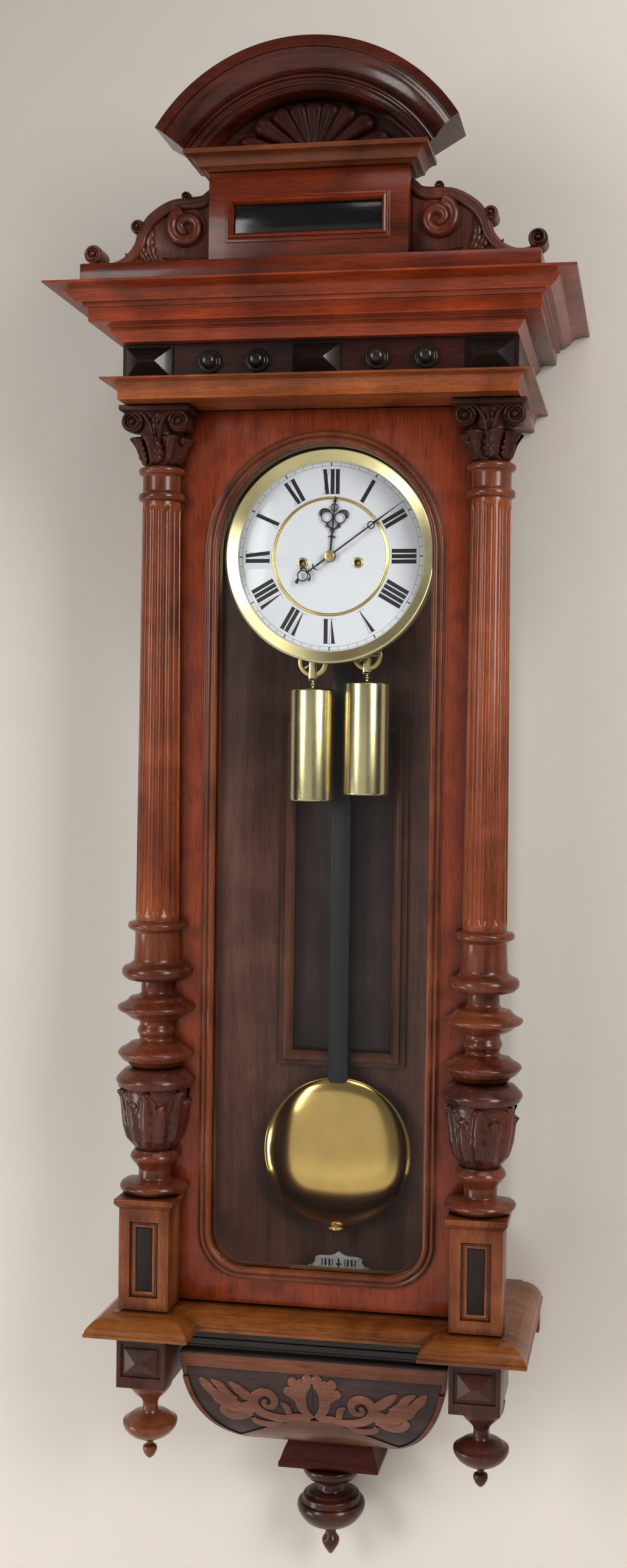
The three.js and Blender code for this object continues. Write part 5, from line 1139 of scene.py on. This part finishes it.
def leaf(root, tip, half, base, height, bend=0.0, lobes=5):
    """An acanthus blade with lobed edges and a sunk vein, from its root to its tip."""
    root, along = np.array(root, float), np.linspace(0, 1, 8 * lobes + 1)
    way = np.array(tip, float) - root
    sag = bend * np.sin(np.pi * along)
    line = root + along[:, None] * way + sag[:, None] * np.array([-way[1], way[0]])
    blade = np.sin(np.pi * np.clip(along, 0.03, 0.985) ** 0.7) ** 0.7
    return vine(line, half * blade * (0.72 + 0.28 * np.abs(np.sin(np.pi * lobes * along))), base,
        height, 0.45)


def volute(x, z, radius, base, height, start, turns, sweep=1):
    """A scroll: a tapering rib that winds in to a round eye, on a sunk disc."""
    rib = curl(x, z, radius * 0.84, radius * 0.4, start, start + sweep * 360 * turns,
        int(36 * turns))
    return merged(disc(x, z, radius * 0.9, base - 6, base + 0.25 * height),
        dome(x, z, radius * 0.32, base, height * 1.25),
        vine(rib, [radius * 0.2, radius * 0.17, radius * 0.1], base + 0.1 * height, height))


capital_foot, abacus_foot, capital_top, bell_leaf_count = 80.3, 125.1, 133.1, 7
bell_reach, bell_height, abacus_half, scroll_reach = 27, 45.3, 33.5, 22.6
bell_shares = [(0.63, 0), (0.66, 0.03), (0.7, 0.1), (0.76, 0.22), (0.83, 0.36), (0.93, 0.46),
    (1.02, 0.53), (0.99, 0.575), (0.86, 0.585), (0.76, 0.6), (0.77, 0.66), (0.81, 0.75),
    (0.88, 0.85), (0.94, 0.93), (0.96, 1)]


def capital_leaves(angle, z):
    rise = (z - capital_foot) / (abacus_foot - capital_foot)
    away = np.abs((angle * bell_leaf_count / (2 * math.pi)) % 1 - 0.5) * 2
    if rise < 0.6:
        strength = min(1, rise / 0.12) * (0.6 + 1.2 * rise)
        ribs = 0.35 * np.cos(math.pi * 5 * away)
        return strength * (3.4 * np.cos(math.pi * away) + ribs) - 1.2
    away = np.abs((angle * bell_leaf_count / (2 * math.pi) + 0.5) % 1 - 0.5) * 2
    return 1.5 * np.cos(math.pi * away) * (rise - 0.6) / 0.4


bell_knots = np.array(shares(bell_shares, bell_reach, bell_height, capital_foot))
bell = carved([(np.interp(z, bell_knots[:, 1], bell_knots[:, 0]), z)
        for z in np.linspace(capital_foot, 125.5, 56)], capital_leaves)
abacus = moulding(front_box(column_x - abacus_half, column_x + abacus_half, facing + 35),
    eased([(-5, abacus_foot), (-4.6, abacus_foot + 1.4), (-2.4, abacus_foot + 2.4),
        (-0.6, abacus_foot + 3.4), (0, abacus_foot + 4.2), (0, capital_top - 0.5),
        (-0.5, capital_top)], 0.7))


def bell_face(x, z):
    """Depth of the bell's surface at a place on its front."""
    radius = np.interp(z, bell_knots[:, 1], bell_knots[:, 0]) - 1.5
    return column_depth + math.sqrt(max(30.0, radius ** 2 - (x - column_x) ** 2))


scrolls = [leaf((column_x, 81), (column_x, 106), 7.5, bell_face, 4.5, 0, 4),
    leaf((column_x, 104), (column_x, 129), 5.4, lambda x, z: facing + 24 + 0.25 * (z - 104), 4.2, 0,
        4)]
for side in (-1, 1):
    corner = column_x + side * scroll_reach
    scrolls.append(volute(corner, 119.2, 11, facing + 27.4, 3.4, 90 + side * 95, 1.5, -side))
    scrolls.append(vine(flowing([(column_x + side * 2.2, 99), (column_x + side * 4, 109),
            (column_x + side * 7, 119), (column_x + side * 13, 126.6), (corner, 128.4)]),
            [1.8, 2.4, 2.6, 2.4, 2.0], lambda x, z: facing + 25 + 0.1 * (z - 99), 4))
    scrolls.append(board(corner - 7.6, corner + 7.6, facing, facing + 25, 111.6, 126.8, 3.2))
    scrolls.append(leaf((column_x + side * 12, 81), (column_x + side * 15.5, 105), 6, bell_face,
            4.4, -0.1 * side, 4))
    scrolls.append(dome(column_x + side * 21, 103.4, 4.6, facing + 12, 4.5))
capital = merged(flat_backed(bell), abacus, *scrolls)
for side, turn_over in both_sides:
    piece("capital_carving_" + side, turn_over(capital), carved_wood, "capital_" + side,
        body="door", slot="dark_walnut", crease=44)

# The base moulding.
# A heavy quarter-round that steps forward under each pedestal, planted on the front of the case,
# with a wall plate below.

base_wood = wood("light_base_walnut", ((0.0782, 0.0182, 0.00294), (0.189, 0.0553, 0.0097),
        (0.276, 0.0943, 0.0182)), "X", 1.2, across=26.0, gloss=0.22, coat=0.55)
base_foot, base_height, base_reach, wall_plate_half, wall_plate_drop = -728.7, 19.2, 25.4, 203, 29
base_shares = [(0.4, 0), (0.9, 0.005), (0.97, 0.03), (1, 0.07), (1, 0.19), (0.975, 0.22),
    (0.955, 0.235), (0.95, 0.3), (0.93, 0.38), (0.86, 0.5), (0.78, 0.62), (0.7, 0.71), (0.58, 0.81),
    (0.45, 0.875), (0.32, 0.91), (0.24, 0.925), (0.2, 0.95), (0.16, 0.965), (0.16, 1)]


def stepped_plan(reach):
    outer, inner = ped_outer + reach, ped_inner - reach
    near, far = door_front + reach, ped_front + reach
    return [(-outer, 0), (outer, 0), (outer, far), (inner, far), (inner, near), (-inner, near),
        (-inner, far), (-outer, far)]


piece("base_quarter_round", moulding(stepped_plan,
        shares(base_shares, base_reach, base_height, base_foot)), base_wood, "base_moulding",
    crease=28)
piece("base_wall_plate", board(-wall_plate_half, wall_plate_half, 0, 12,
        base_foot - wall_plate_drop, base_foot + 0.4, 1.2), case_wood)


# The drop blocks and side finials.
# Square blocks with a faceted pyramid in a sunk field, each with a turned drop below it.

block_inner, block_outer, block_back, block_front = 132.8, 180.0, 89.0, 169.0
block_foot, block_top = -781.0, -729.0
block_x, block_z, field_half, field_rise = 156.4, -755.0, 19, 15.5
finial_x, finial_depth, finial_reach, finial_height, finial_foot = 159.1, 129, 26, 81, -862.3
block_wood = wood("drop_block_walnut", ((0.0165, 0.0044, 0.003025), (0.0465, 0.0121, 0.00715),
        (0.07875, 0.022, 0.01265)), "Z", 0.6)
ebony = wood("ebonised_pear", ((0.006, 0.0045, 0.004), (0.013, 0.0085, 0.007),
        (0.024, 0.015, 0.011)), "X", 0.3, gloss=0.2, grime_and_shade_reach=0.004, coat=0.6)


def pyramid(x, z, width, height, stand, ridge, base):
    """A block cut to flat facets that meet in a ridge."""
    def ring(half_width, half_height, depth):
        return [(px, depth, pz) for px, pz in rectangle(x - half_width, x + half_width,
                z - half_height, z + half_height)]
    return skin([ring(width / 2, height / 2, base - 1), ring(width / 2, height / 2, base + 1.5),
            ring(width / 2 - 0.5, height / 2 - 0.5, base + 2), ring(ridge / 2, 0.35, base + stand)])


field = rectangle(block_x - field_half, block_x + field_half, block_z - field_rise,
    block_z + field_rise)
block_edge = rectangle(block_inner, block_outer, block_foot, block_top)
block = merged(board(block_inner, block_outer, block_back, block_front - 1.6, block_foot, block_top,
        0.8), cut_out([block_edge, field], block_front - 2.2, block_front, 0.6))
block_boss = pyramid(block_x, block_z, width=32, height=24, stand=8.2, ridge=7,
    base=block_front - 1.6)
finial_shares = [(0.06, 0), (0.1, 0.012), (0.17, 0.035), (0.23, 0.07), (0.262, 0.1), (0.265, 0.125),
    (0.24, 0.148), (0.16, 0.162), (0.12, 0.175), (0.115, 0.22), (0.16, 0.237), (0.3, 0.245),
    (0.48, 0.26), (0.66, 0.29), (0.82, 0.33), (0.93, 0.375), (0.985, 0.415), (1, 0.445),
    (0.985, 0.465), (0.9, 0.478), (0.84, 0.49), (0.8, 0.505), (0.7, 0.53), (0.5, 0.545),
    (0.34, 0.565), (0.285, 0.6), (0.28, 0.66), (0.31, 0.7), (0.4, 0.74), (0.56, 0.785),
    (0.68, 0.83), (0.78, 0.88), (0.82, 0.94), (0.83, 1)]
side_drop = turned(shares(finial_shares, finial_reach, finial_height, finial_foot), finial_x,
    finial_depth)
lit_drop_wood = wood("painted_light_turned_walnut", ((0.081, 0.0195, 0.0072), (0.171, 0.0468, 0.018),
        (0.243, 0.07475, 0.0312)), "Z", 0.5, gloss=0.22, grime_and_shade_reach=0.014, coat=0.55)
# The side drops are one wood: the left takes a lighter honey copy as painted light, the right the
# darker block wood as painted shade.
for (side, turn_over), lit_and_shaded_drop_wood in zip(both_sides, (block_wood, lit_drop_wood)):
    piece("drop_block_body_" + side, turn_over(block), block_wood, "drop_block_" + side)
    piece("drop_block_pyramid_" + side, turn_over(block_boss), block_wood, crease=12)
    piece("side_drop_turned_" + side, turn_over(side_drop), lit_and_shaded_drop_wood, "drop_finial_" + side)

# The apron.
# A curved, tapering belly with a border and a plain foot, and a flat-carved arabesque of palmette,
# scrolls and leaves.

apron_top, apron_face, apron_foot, belly_height = -729.0, -754.0, -859.0, 105
narrow_half, half_gain, narrow_depth, depth_gain = 44, 83.6, 60, 79
foot_top, foot_half, foot_rise, border_width = -815, 60, 22, 5.2
border_top, border_foot, plain_top, strip_back, neck_back = -753.6, -767.2, -816.5, 6, 12.3
ground_top, ground_foot, ground_sink, carved_sink = -767, -845, 1.9, 2.0
apron_wood = wood("apron_walnut", ((0.045, 0.0125, 0.0065), (0.115, 0.034, 0.017),
        (0.18, 0.060, 0.032)), "X", 0.8)
ground_wood = wood("apron_dark_ground", ((0.018, 0.0105, 0.011), (0.036, 0.020, 0.020),
        (0.056, 0.032, 0.031)), "X", 0.6, gloss=0.5, coat=0.1)
relief_wood = wood("apron_carving_walnut", ((0.075, 0.024, 0.013), (0.155, 0.056, 0.034),
        (0.215, 0.088, 0.056)), "X", 0.6, gloss=0.3, grime_and_shade_reach=0.005)


def apron_size(z):
    """Half width and depth of the belly at a height."""
    bulge = math.sqrt(max(0, 1 - min(1, max(0, (apron_face - z) / belly_height)) ** 2))
    return narrow_half + half_gain * bulge, narrow_depth + depth_gain * bulge


def belly_edge(z):
    return apron_size(z)[0]


def foot_edge(z):
    """Half width of the plain foot under the carving."""
    return foot_half * (max(0, foot_top - z) / foot_rise) ** 0.67


def apron_strip(heights, edges, back, rise):
    """A strip that follows the belly between two edges, standing on its face by a given rise."""
    rings = []
    for z in heights:
        front = apron_size(z)[1]
        left, right_edge = edges(z)
        rings.append([(left, front - back, z), (left, front + rise - 0.5, z),
                (left + 0.5, front + rise, z), (right_edge - 0.5, front + rise, z),
                (right_edge, front + rise - 0.5, z), (right_edge, front - back, z)])
    return skin(rings)


belly_heights = apron_face - belly_height * np.sin(np.linspace(0, math.pi / 2, 48))
belly = skin([[(-half, 0, z), (half, 0, z), (half, front - 3.1, z), (half - 0.5, front - 2.6, z),
        (-half + 0.5, front - 2.6, z), (-half, front - 3.1, z)] for z in belly_heights
        for half, front in [apron_size(z)]])
neck_steps = ((122, 131, apron_top), (122, 131, -735.5), (123.2, 132.2, -736.2),
    (123.2, 132.2, -741), (125, 134, -741.8), (125, 134, -747), (123.6, 132.6, -748.2),
    (123.6, 132.6, -750.4), (126.6, 138, -751.6), (127.6, 139, -753), (127.6, 139, -754.4))
neck = skin([[(-half, neck_back, z), (half, neck_back, z), (half, front, z), (-half, front, z)]
        for half, front, z in neck_steps])


def plain_edge(z):
    return min(foot_edge(z) + 0.6, belly_edge(z) - 3)


strips = ((np.linspace(border_top, border_foot, 8), lambda z: (-belly_edge(z), belly_edge(z)), 0),
    (belly_heights[7:], lambda z: (belly_edge(z) - border_width, belly_edge(z)), 0),
    (belly_heights[7:], lambda z: (-belly_edge(z), border_width - belly_edge(z)), 0),
    (np.linspace(plain_top, apron_foot, 40), lambda z: (-plain_edge(z), plain_edge(z)), -0.2))
border = merged(*[apron_strip(heights, edges, strip_back, rise) for heights, edges, rise in strips])
half_ground = apron_strip(np.linspace(ground_top, ground_foot, 40),
    lambda z: (foot_edge(z) - 0.1, belly_edge(z) - 5), 4, -ground_sink)
piece("apron_belly", merged(belly, border), apron_wood, "apron", crease=28)
piece("apron_neck_fillets", neck, ebony, slot="dark_walnut", crease=20)
piece("apron_ground", merged(half_ground, mirrored(half_ground)), ground_wood, slot="dark_walnut",
    crease=28)


def apron_skin(x, z):
    return apron_size(z)[1] - carved_sink


def stroke(points, widths, height=2.3):
    return vine(flowing(points), [1.3 * width for width in widths], apron_skin, height, power=7)


def button(x, z, radius, height=2.3):
    return stroke([(x - radius * 0.95, z), (x - radius * 0.5, z), (x, z), (x + radius * 0.5, z),
            (x + radius * 0.95, z)], [radius * w for w in (0.3, 0.82, 1, 0.82, 0.3)], height)


long_leaf = [(56, -806), (70, -808), (84, -803), (96, -793), (109, -779)]
strokes = (([(1.5, -814), (7.5, -808), (11.2, -799), (11.4, -789), (8, -781), (2.5, -776)],
        [2.2, 3.4, 4.4, 4.6, 4.2, 3.2]), ([(11, -792), (15, -785), (19, -779)], [4, 4.6, 3.4]),
    ([(11, -796), (17, -790), (23, -786)], [3.6, 4, 3]),
    ([(4, -815.5), (16, -814), (28, -817), (42, -815.5), (53, -809.5), (57.6, -800.5), (54, -792),
        (46, -788.8), (38.8, -792), (36.8, -799), (40.4, -804.4), (46.4, -804), (48.2, -799.6)],
        [3.4, 3.8, 4.0, 3.8, 3.4, 2.6, 1.9]), ([(28, -818), (36, -824), (46, -826), (56, -824),
        (60, -819)], [1, 2.6, 3.4, 3.2, 1.6]), ([(24, -811), (26, -803), (31, -799)],
        [2.6, 2.8, 1]), ([(60, -812), (72, -818), (82, -818), (88, -812), (84, -806)],
        [3, 3.8, 3.6, 3.2, 1.6]), ([(56, -797), (64, -794), (73, -787), (80, -781)],
        [2.8, 4.2, 3.8, 1]), ([(74, -800), (84, -793), (90, -785), (98, -780)], [3, 4, 3.4, 1]))
studs = ((4.5, -773.4, 5.6), (12, -776.4, 3.6), (18.5, -777, 5.2), (23.5, -786, 4.4),
    (46.6, -799, 2.9, 2.7))
half_motif = [stroke(*line) for line in strokes] + [button(*stud) for stud in studs]
half_motif.append(vine(flowing(long_leaf), [4.2, 8.2, 6.2, 9.2, 6.4, 8, 5, 5.4, 1.2], apron_skin,
        2.5, 0.25, power=6))
motif = merged(*half_motif, *map(mirrored, half_motif))
piece("apron_arabesque", motif, relief_wood, crease=44)

# The apron cap and the centre drop.
# A flaring square cap under the belly, and under it the largest turned drop, ending in an acorn.


def wall_plan(half, front, back=0.0):
    def plan(reach):
        return rectangle(-half - reach, half + reach, back, front + reach)
    return plan


def cornice(half, front, table, reach, height, foot, back=0.0):
    return moulding(wall_plan(half, front, back), shares(table, reach, height, foot))


cap_half, cap_front, cap_reach, cap_height, cap_foot = 33, 38, 17.4, 36, -895.3
drop_depth, drop_reach, drop_height, drop_foot = 36, 34, 90, -985.6
# The cap takes a darker copy of the apron walnut as painted shade, for the shadow under the belly.
shaded_cap_wood = wood("apron_cap_walnut_painted_shade", ((0.026, 0.00405, 0.00182), (0.0676, 0.0108, 0.00455),
        (0.107, 0.0189, 0.0084)), "X", 0.8, gloss=0.38, coat=0.08, shine=0.12)
cap_shares = [(0.86, 0), (0.97, 0.02), (1, 0.05), (1, 0.15), (0.975, 0.18), (0.92, 0.22),
    (0.82, 0.36), (0.72, 0.5), (0.59, 0.64), (0.45, 0.76), (0.3, 0.86), (0.15, 0.94), (0.04, 0.98),
    (0, 1)]
piece("apron_cap_flared", cornice(cap_half, cap_front, cap_shares, cap_reach, cap_height, cap_foot),
    shaded_cap_wood, "apron_cap", crease=30)
drop_shares = [(0.03, 0), (0.06, 0.008), (0.12, 0.04), (0.19, 0.08), (0.24, 0.12), (0.258, 0.15),
    (0.245, 0.18), (0.2, 0.205), (0.155, 0.235), (0.15, 0.275), (0.18, 0.305), (0.25, 0.33),
    (0.42, 0.345), (0.62, 0.37), (0.75, 0.4), (0.85, 0.44), (0.93, 0.485), (0.975, 0.52), (1, 0.56),
    (0.985, 0.59), (0.95, 0.61), (0.86, 0.618), (0.84, 0.635), (0.85, 0.655), (0.82, 0.68),
    (0.7, 0.69), (0.66, 0.7), (0.66, 0.715), (0.56, 0.725), (0.4, 0.735), (0.37, 0.76),
    (0.37, 0.81), (0.44, 0.835), (0.6, 0.86), (0.71, 0.885), (0.79, 0.92), (0.835, 0.955),
    (0.845, 0.98), (0.82, 1)]
piece("centre_drop_turned", turned(shares(drop_shares, drop_reach, drop_height, drop_foot), 0,
        drop_depth, 72), cross_dark_wood, "centre_finial", crease=40)


# The cornices and frieze.
# A dark frieze with faceted bosses and turned buttons runs between a small lower cornice and a
# wide main cornice.

cornice_half, cornice_front, lower_reach, lower_height, lower_foot = 181, 183, 15, 17.8, 133.7
main_reach, main_height, main_foot = 54.5, 42.4, 185.6
frieze_half, frieze_foot, frieze_top, frieze_front = 182, 151.8, 185.3, 172.0
boss_places, button_places = (-156.5, 0, 156.5), (-99.6, -55.1, 55.1, 99.6)
button_radius, button_stand = 10.7, 12
cornice_wood = wood("cornice_walnut", ((0.106, 0.013, 0.00263), (0.217, 0.0284, 0.00531),
        (0.313, 0.0451, 0.00865)), "X", 0.8, **polished)
lower_wood = wood("lower_cornice_walnut", ((0.0989, 0.0214, 0.00504), (0.231, 0.0546, 0.0132),
        (0.343, 0.0926, 0.0233)), "X", 0.8, **polished)
frieze_wood = wood("frieze_dark_walnut", ((0.0132, 0.00216, 0.00171), (0.0288, 0.00441, 0.00324),
        (0.0504, 0.00765, 0.0054)), "X", 0.5)
lower_shares = [(0.13, 0), (0.13, 0.34), (0.14, 0.42), (0.17, 0.52), (0.2, 0.6), (0.24, 0.71),
    (0.29, 0.79), (0.4, 0.855), (0.57, 0.88), (0.6, 0.885), (0.94, 0.888), (0.985, 0.9), (1, 0.93),
    (1, 0.985), (0.97, 1)]
piece("lower_cornice_moulded", cornice(cornice_half, cornice_front, lower_shares, lower_reach,
        lower_height, lower_foot), lower_wood, "lower_cornice", crease=26)
main_shares = [(0.01, 0), (0.03, 0.05), (0.08, 0.13), (0.13, 0.2), (0.13, 0.27), (0.165, 0.275),
    (0.17, 0.31), (0.405, 0.318), (0.415, 0.335), (0.42, 0.585), (0.43, 0.6), (0.472, 0.605),
    (0.475, 0.62), (0.495, 0.685), (0.57, 0.69), (0.578, 0.7), (0.59, 0.72), (0.64, 0.76),
    (0.66, 0.785), (0.675, 0.82), (0.7, 0.86), (0.75, 0.9), (0.81, 0.925), (0.88, 0.943),
    (0.985, 0.948), (0.995, 0.955), (1, 0.97), (1, 0.99), (0.985, 1)]
piece("main_cornice_moulded", cornice(cornice_half, cornice_front, main_shares, main_reach,
        main_height, main_foot), cornice_wood, "main_cornice", crease=26)
frieze_middle = (frieze_foot + frieze_top) / 2
piece("frieze_board", moulding(wall_plan(frieze_half, frieze_front),
        [(0, frieze_foot), (0, frieze_top)]), frieze_wood, "frieze", slot="dark_walnut")
bosses = [pyramid(x, frieze_middle, width=44, height=28, stand=11, ridge=16, base=frieze_front)
    for x in boss_places]
piece("frieze_bosses", merged(*bosses), ebony, slot="ebonised", crease=12)
button_profile = [(0, -0.5), (1, -0.5), (1, 0.16), (0.96, 0.24), (0.86, 0.28), (0.8, 0.26),
    (0.72, 0.26), (0.66, 0.32), (0.68, 0.42), (0.71, 0.54), (0.69, 0.66), (0.62, 0.79), (0.5, 0.9),
    (0.34, 0.96), (0.16, 0.995), (0, 1)]
button_section = [(button_radius * r, frieze_front + button_stand * stand)
    for r, stand in button_profile]
buttons = [turned_forward(button_section, x, frieze_middle, 40) for x in button_places]
piece("frieze_buttons", merged(*buttons), ebony, slot="ebonised", crease=50)

# The crest: rail, tablet, scroll brackets, small cornice, arch and shell.
# A moulded block with a framed black panel, flanked by carved scrolls and crowned by an arch over
# a shell.

rail_half, rail_back, rail_front, rail_foot, rail_top = 204.5, 178, 226, 228.3, 245
tablet_half, tablet_back, tablet_front, tablet_foot, tablet_top = 89.0, 181, 218.5, 245.3, 322.3
black_half, black_foot, black_top, frame_width, frame_stand = 65.5, 267.8, 292.8, 7.5, 5
crest_reach, crest_height, crest_foot = 18.5, 15, 322.6
rail_wood = wood("crest_rail_walnut", ((0.0451, 0.00459, 0.000594), (0.108, 0.0119, 0.00148),
        (0.162, 0.0197, 0.00257)), "X", 0.8)
piece("crest_rail_planed", board(-rail_half, rail_half, rail_back, rail_front, rail_foot, rail_top,
        1.1), rail_wood, "crest_rail")
frame_shares = [(0, -0.3), (0, 0.3), (0.12, 0.72), (0.26, 0.98), (0.36, 1), (0.48, 0.92),
    (0.56, 0.84), (0.6, 0.6), (0.68, 0.44), (0.78, 0.36), (0.9, 0.3), (1, 0.22), (1, -0.3)]
tablet_wood = wood("tablet_walnut", ((0.0324, 0.00439, 0.000924), (0.0864, 0.0105, 0.00202),
        (0.142, 0.018, 0.00353)), "X", 0.9)
piece("tablet_block", board(-tablet_half, tablet_half, tablet_back, tablet_front, tablet_foot,
        tablet_top, 0.9), tablet_wood, "crest_tablet")
piece("tablet_frame", planted_frame(-black_half, black_half, black_foot, black_top, frame_shares,
        frame_width, frame_stand, tablet_front), rail_wood, crease=30)
black_gloss = wood("black_gloss_panel", ((0.00252, 0.002, 0.002475), (0.0036, 0.0028, 0.0033),
        (0.0054, 0.004, 0.004675)), "X", 0.2, gloss=0.14, coat=0.8)
piece("tablet_black_panel", board(0.3 - black_half, black_half - 0.3, tablet_front - 0.3,
        tablet_front + 0.6, black_foot + 0.3, black_top - 0.3, 0.3), black_gloss, slot="ebonised")
crest_wood = wood("crest_cornice_walnut", ((0.052, 0.0115, 0.0038), (0.120, 0.0290, 0.0092),
        (0.180, 0.048, 0.016)), "X", 0.8)
crest_shares = [(0.03, 0), (0.1, 0.02), (0.16, 0.06), (0.3, 0.13), (0.44, 0.16), (0.45, 0.17),
    (0.46, 0.26), (0.49, 0.34), (0.53, 0.41), (0.6, 0.5), (0.7, 0.6), (0.8, 0.67), (0.9, 0.705),
    (0.97, 0.715), (0.99, 0.73), (1, 0.76), (1, 0.97), (0.98, 1)]
piece("crest_cornice_moulded", cornice(tablet_half, tablet_front, crest_shares, crest_reach,
        crest_height, crest_foot, tablet_back), crest_wood, "crest_cornice", crease=26)

scroll_back, scroll_front, scroll_start = 185, 206.0, 89.3
scroll_length, scroll_height = 115.2, 71.0
shell_back, shell_front, shell_radius, lobe_half, lobe_stand = 186, 193, 119.3, 10.2, 11
eye_x, eye_rise, shell_half, shell_height, shell_clear = 9, 5.4, 72.5, 49.5, 0.2


def bracket(across, rise):
    return scroll_start + across * scroll_length, tablet_foot + rise * scroll_height


top_edge = flowing([bracket(*share) for share in ((0.915, 0.11), (0.815, 0.089), (0.709, 0.155),
        (0.63, 0.3), (0.6, 0.45), (0.531, 0.634), (0.428, 0.761), (0.333, 0.831), (0.247, 0.852),
        (0.1, 0.87), (0.05, 0.93), (0, 1))], 6)
blank = cut_out([[bracket(0, 0), bracket(0.95, 0), *map(tuple, top_edge)]], scroll_back,
    scroll_front - 2, 0.8)
way = np.gradient(top_edge, axis=0)
inward = np.column_stack([-way[:, 1], way[:, 0]]) / np.linalg.norm(way, axis=1)[:, None]
ribbon = vine((top_edge + 5.4 * inward)[4:-4], [3.4, 5.2, 5.4, 5.6, 5.8, 6, 4.8],
    scroll_front - 2.4, 5, 0.2)
big, middle = bracket(0.205, 0.485), bracket(0.6, 0.521)
outer, small = bracket(0.958, 0.197), bracket(0.208, 0.87)
volute_wood = wood("scroll_face_walnut", ((0.0352, 0.0061, 0.0023), (0.0918, 0.0147, 0.0052),
        (0.146, 0.0257, 0.0092)), "Z", 0.5, grime_and_shade_reach=0.005)
scroll_wood = wood("scroll_carving_walnut", ((0.028, 0.0072, 0.0040), (0.078, 0.0180, 0.0095),
        (0.140, 0.0330, 0.0175)), "Z", 0.5, grime_and_shade_reach=0.008, coat=0.15)
parts = [blank, ribbon]
for centre, radius, height, *winding in ((middle, 6.6, 3.2, 200, 1.4),
        (outer, 8.6, 3.4, 250, 1.6, -1), (small, 4.5, 2.6, 0, 1.2)):
    parts.append(volute(*centre, radius, scroll_front - 1, height, *winding))
    parts.append(disc(*centre, radius - 0.3, scroll_back, scroll_front - 1))
for root, tip, half, *more in (((0.45, 0.06), (0.47, 0.5), 5.5, 4, -0.15, 4),
        ((0.5, 0.06), (0.58, 0.36), 5, 3.8, -0.1, 4), ((0.58, 0.05), (0.7, 0.2), 4, 3.4, -0.1, 3),
        ((0.04, 0.08), (0.4, 0.12), 4.4, 3.4, -0.05, 4)):
    parts.append(leaf(bracket(*root), bracket(*tip), half, scroll_front - 2.4, *more))
carving = merged(*parts)
big_line = curl(*big, 15.6, 4, 75, 75 - 360 * 1.45, 60)
big_volute = merged(vine(big_line, [5.8, 5.6, 5.2, 4.6, 3.6], scroll_front - 1.2, 5.6),
    disc(*big, 17.4, 190, scroll_front - 1))
for side, turn_over in both_sides:
    piece("crest_scroll_carving_" + side, turn_over(carving), scroll_wood, "crest_scroll_" + side,
        slot="dark_walnut", crease=44)
    piece("crest_scroll_volute_" + side, turn_over(big_volute), volute_wood, crease=44)

arch_centre, arch_radius, arch_face, arch_front, arch_seat = 270.5, 159.0, 39.4, 236.0, 337.9
arch_wood = wood("arch_walnut", ((0.021, 0.00377, 0.00168), (0.0546, 0.00899, 0.00352),
        (0.0945, 0.01682, 0.0064)), "X", 0.7, gloss=0.18, coat=0.7)
arch_shares = [(0, 2.208), (0, 0), (0.21, 0), (0.225, 0.01), (0.236, 0.09), (0.25, 0.105),
    (0.31, 0.125), (0.36, 0.16), (0.41, 0.215), (0.46, 0.285), (0.52, 0.375), (0.57, 0.46),
    (0.61, 0.545), (0.64, 0.615), (0.66, 0.65), (0.672, 0.65), (0.682, 0.6), (0.7, 0.565),
    (0.72, 0.55), (0.74, 0.565), (0.755, 0.61), (0.765, 0.7), (0.78, 0.72), (0.85, 0.732),
    (0.862, 0.75), (0.868, 0.85), (0.88, 0.868), (0.96, 0.888), (0.975, 0.92), (1, 1), (1, 2.208)]
arch_rings = []
for angle in np.radians(np.linspace(-57, 57, 97)):
    ring = [(arch_radius - arch_face * inward, arch_front - 24 * back)
        for inward, back in arch_shares]
    arch_rings.append([(r * math.sin(angle), depth,
            max(arch_seat, arch_centre + r * math.cos(angle))) for r, depth in ring])
piece("crest_arch_moulded", skin(arch_rings), arch_wood, "crest_arch", crease=28)
shell_ground = [(x, max(arch_seat, z))
    for x, z in ring_line(0, arch_centre, shell_radius, 34.5, 145.5, 49)]
piece("shell_ground", slab(shell_ground, shell_back, shell_front), cross_dark_wood, "crest_shell",
    slot="dark_walnut")
shell_wood = wood("shell_walnut", ((0.0116, 0.0017, 0.001), (0.0277, 0.0042, 0.0023),
        (0.0437, 0.0074, 0.004)), "Z", 0.5, gloss=0.46, grime_and_shade_reach=0.008, coat=0.05, shine=0.11)
lobes = []
for angle in np.radians(np.linspace(-78, 78, 9)):
    length = 1 / math.hypot(math.sin(angle) / shell_half, math.cos(angle) / shell_height)
    along = np.linspace(0.08, 1, 22)
    width = lobe_half * np.interp(along, [0.08, 0.14, 0.3, 0.5, 0.7, 0.84, 0.92, 0.97, 1],
        [0.08, 0.26, 0.42, 0.6, 0.83, 1, 0.9, 0.6, 0.12])
    line = np.column_stack([along * length * math.sin(angle),
            arch_seat + 1.2 + along * length * math.cos(angle)])
    drop = width * abs(math.sin(angle))
    line[:, 1] = np.maximum(line[:, 1], arch_seat + shell_clear + drop)
    lobes.append(vine(line, width, shell_front - 0.2, lobe_stand, 0.12, power=3))
piece("shell_lobes", merged(*lobes), shell_wood, crease=50)
eyes = [volute(side * eye_x, arch_seat + eye_rise, 5.2, shell_front + 6, 3, 90, 1.2, side)
    for side in (-1, 1)]
stems = [disc(side * eye_x, arch_seat + eye_rise - 0.2, 4.6, shell_front - 1, shell_front + 7)
    for side in (-1, 1)]
piece("shell_eyes", merged(*eyes, *stems), shell_wood, crease=44)
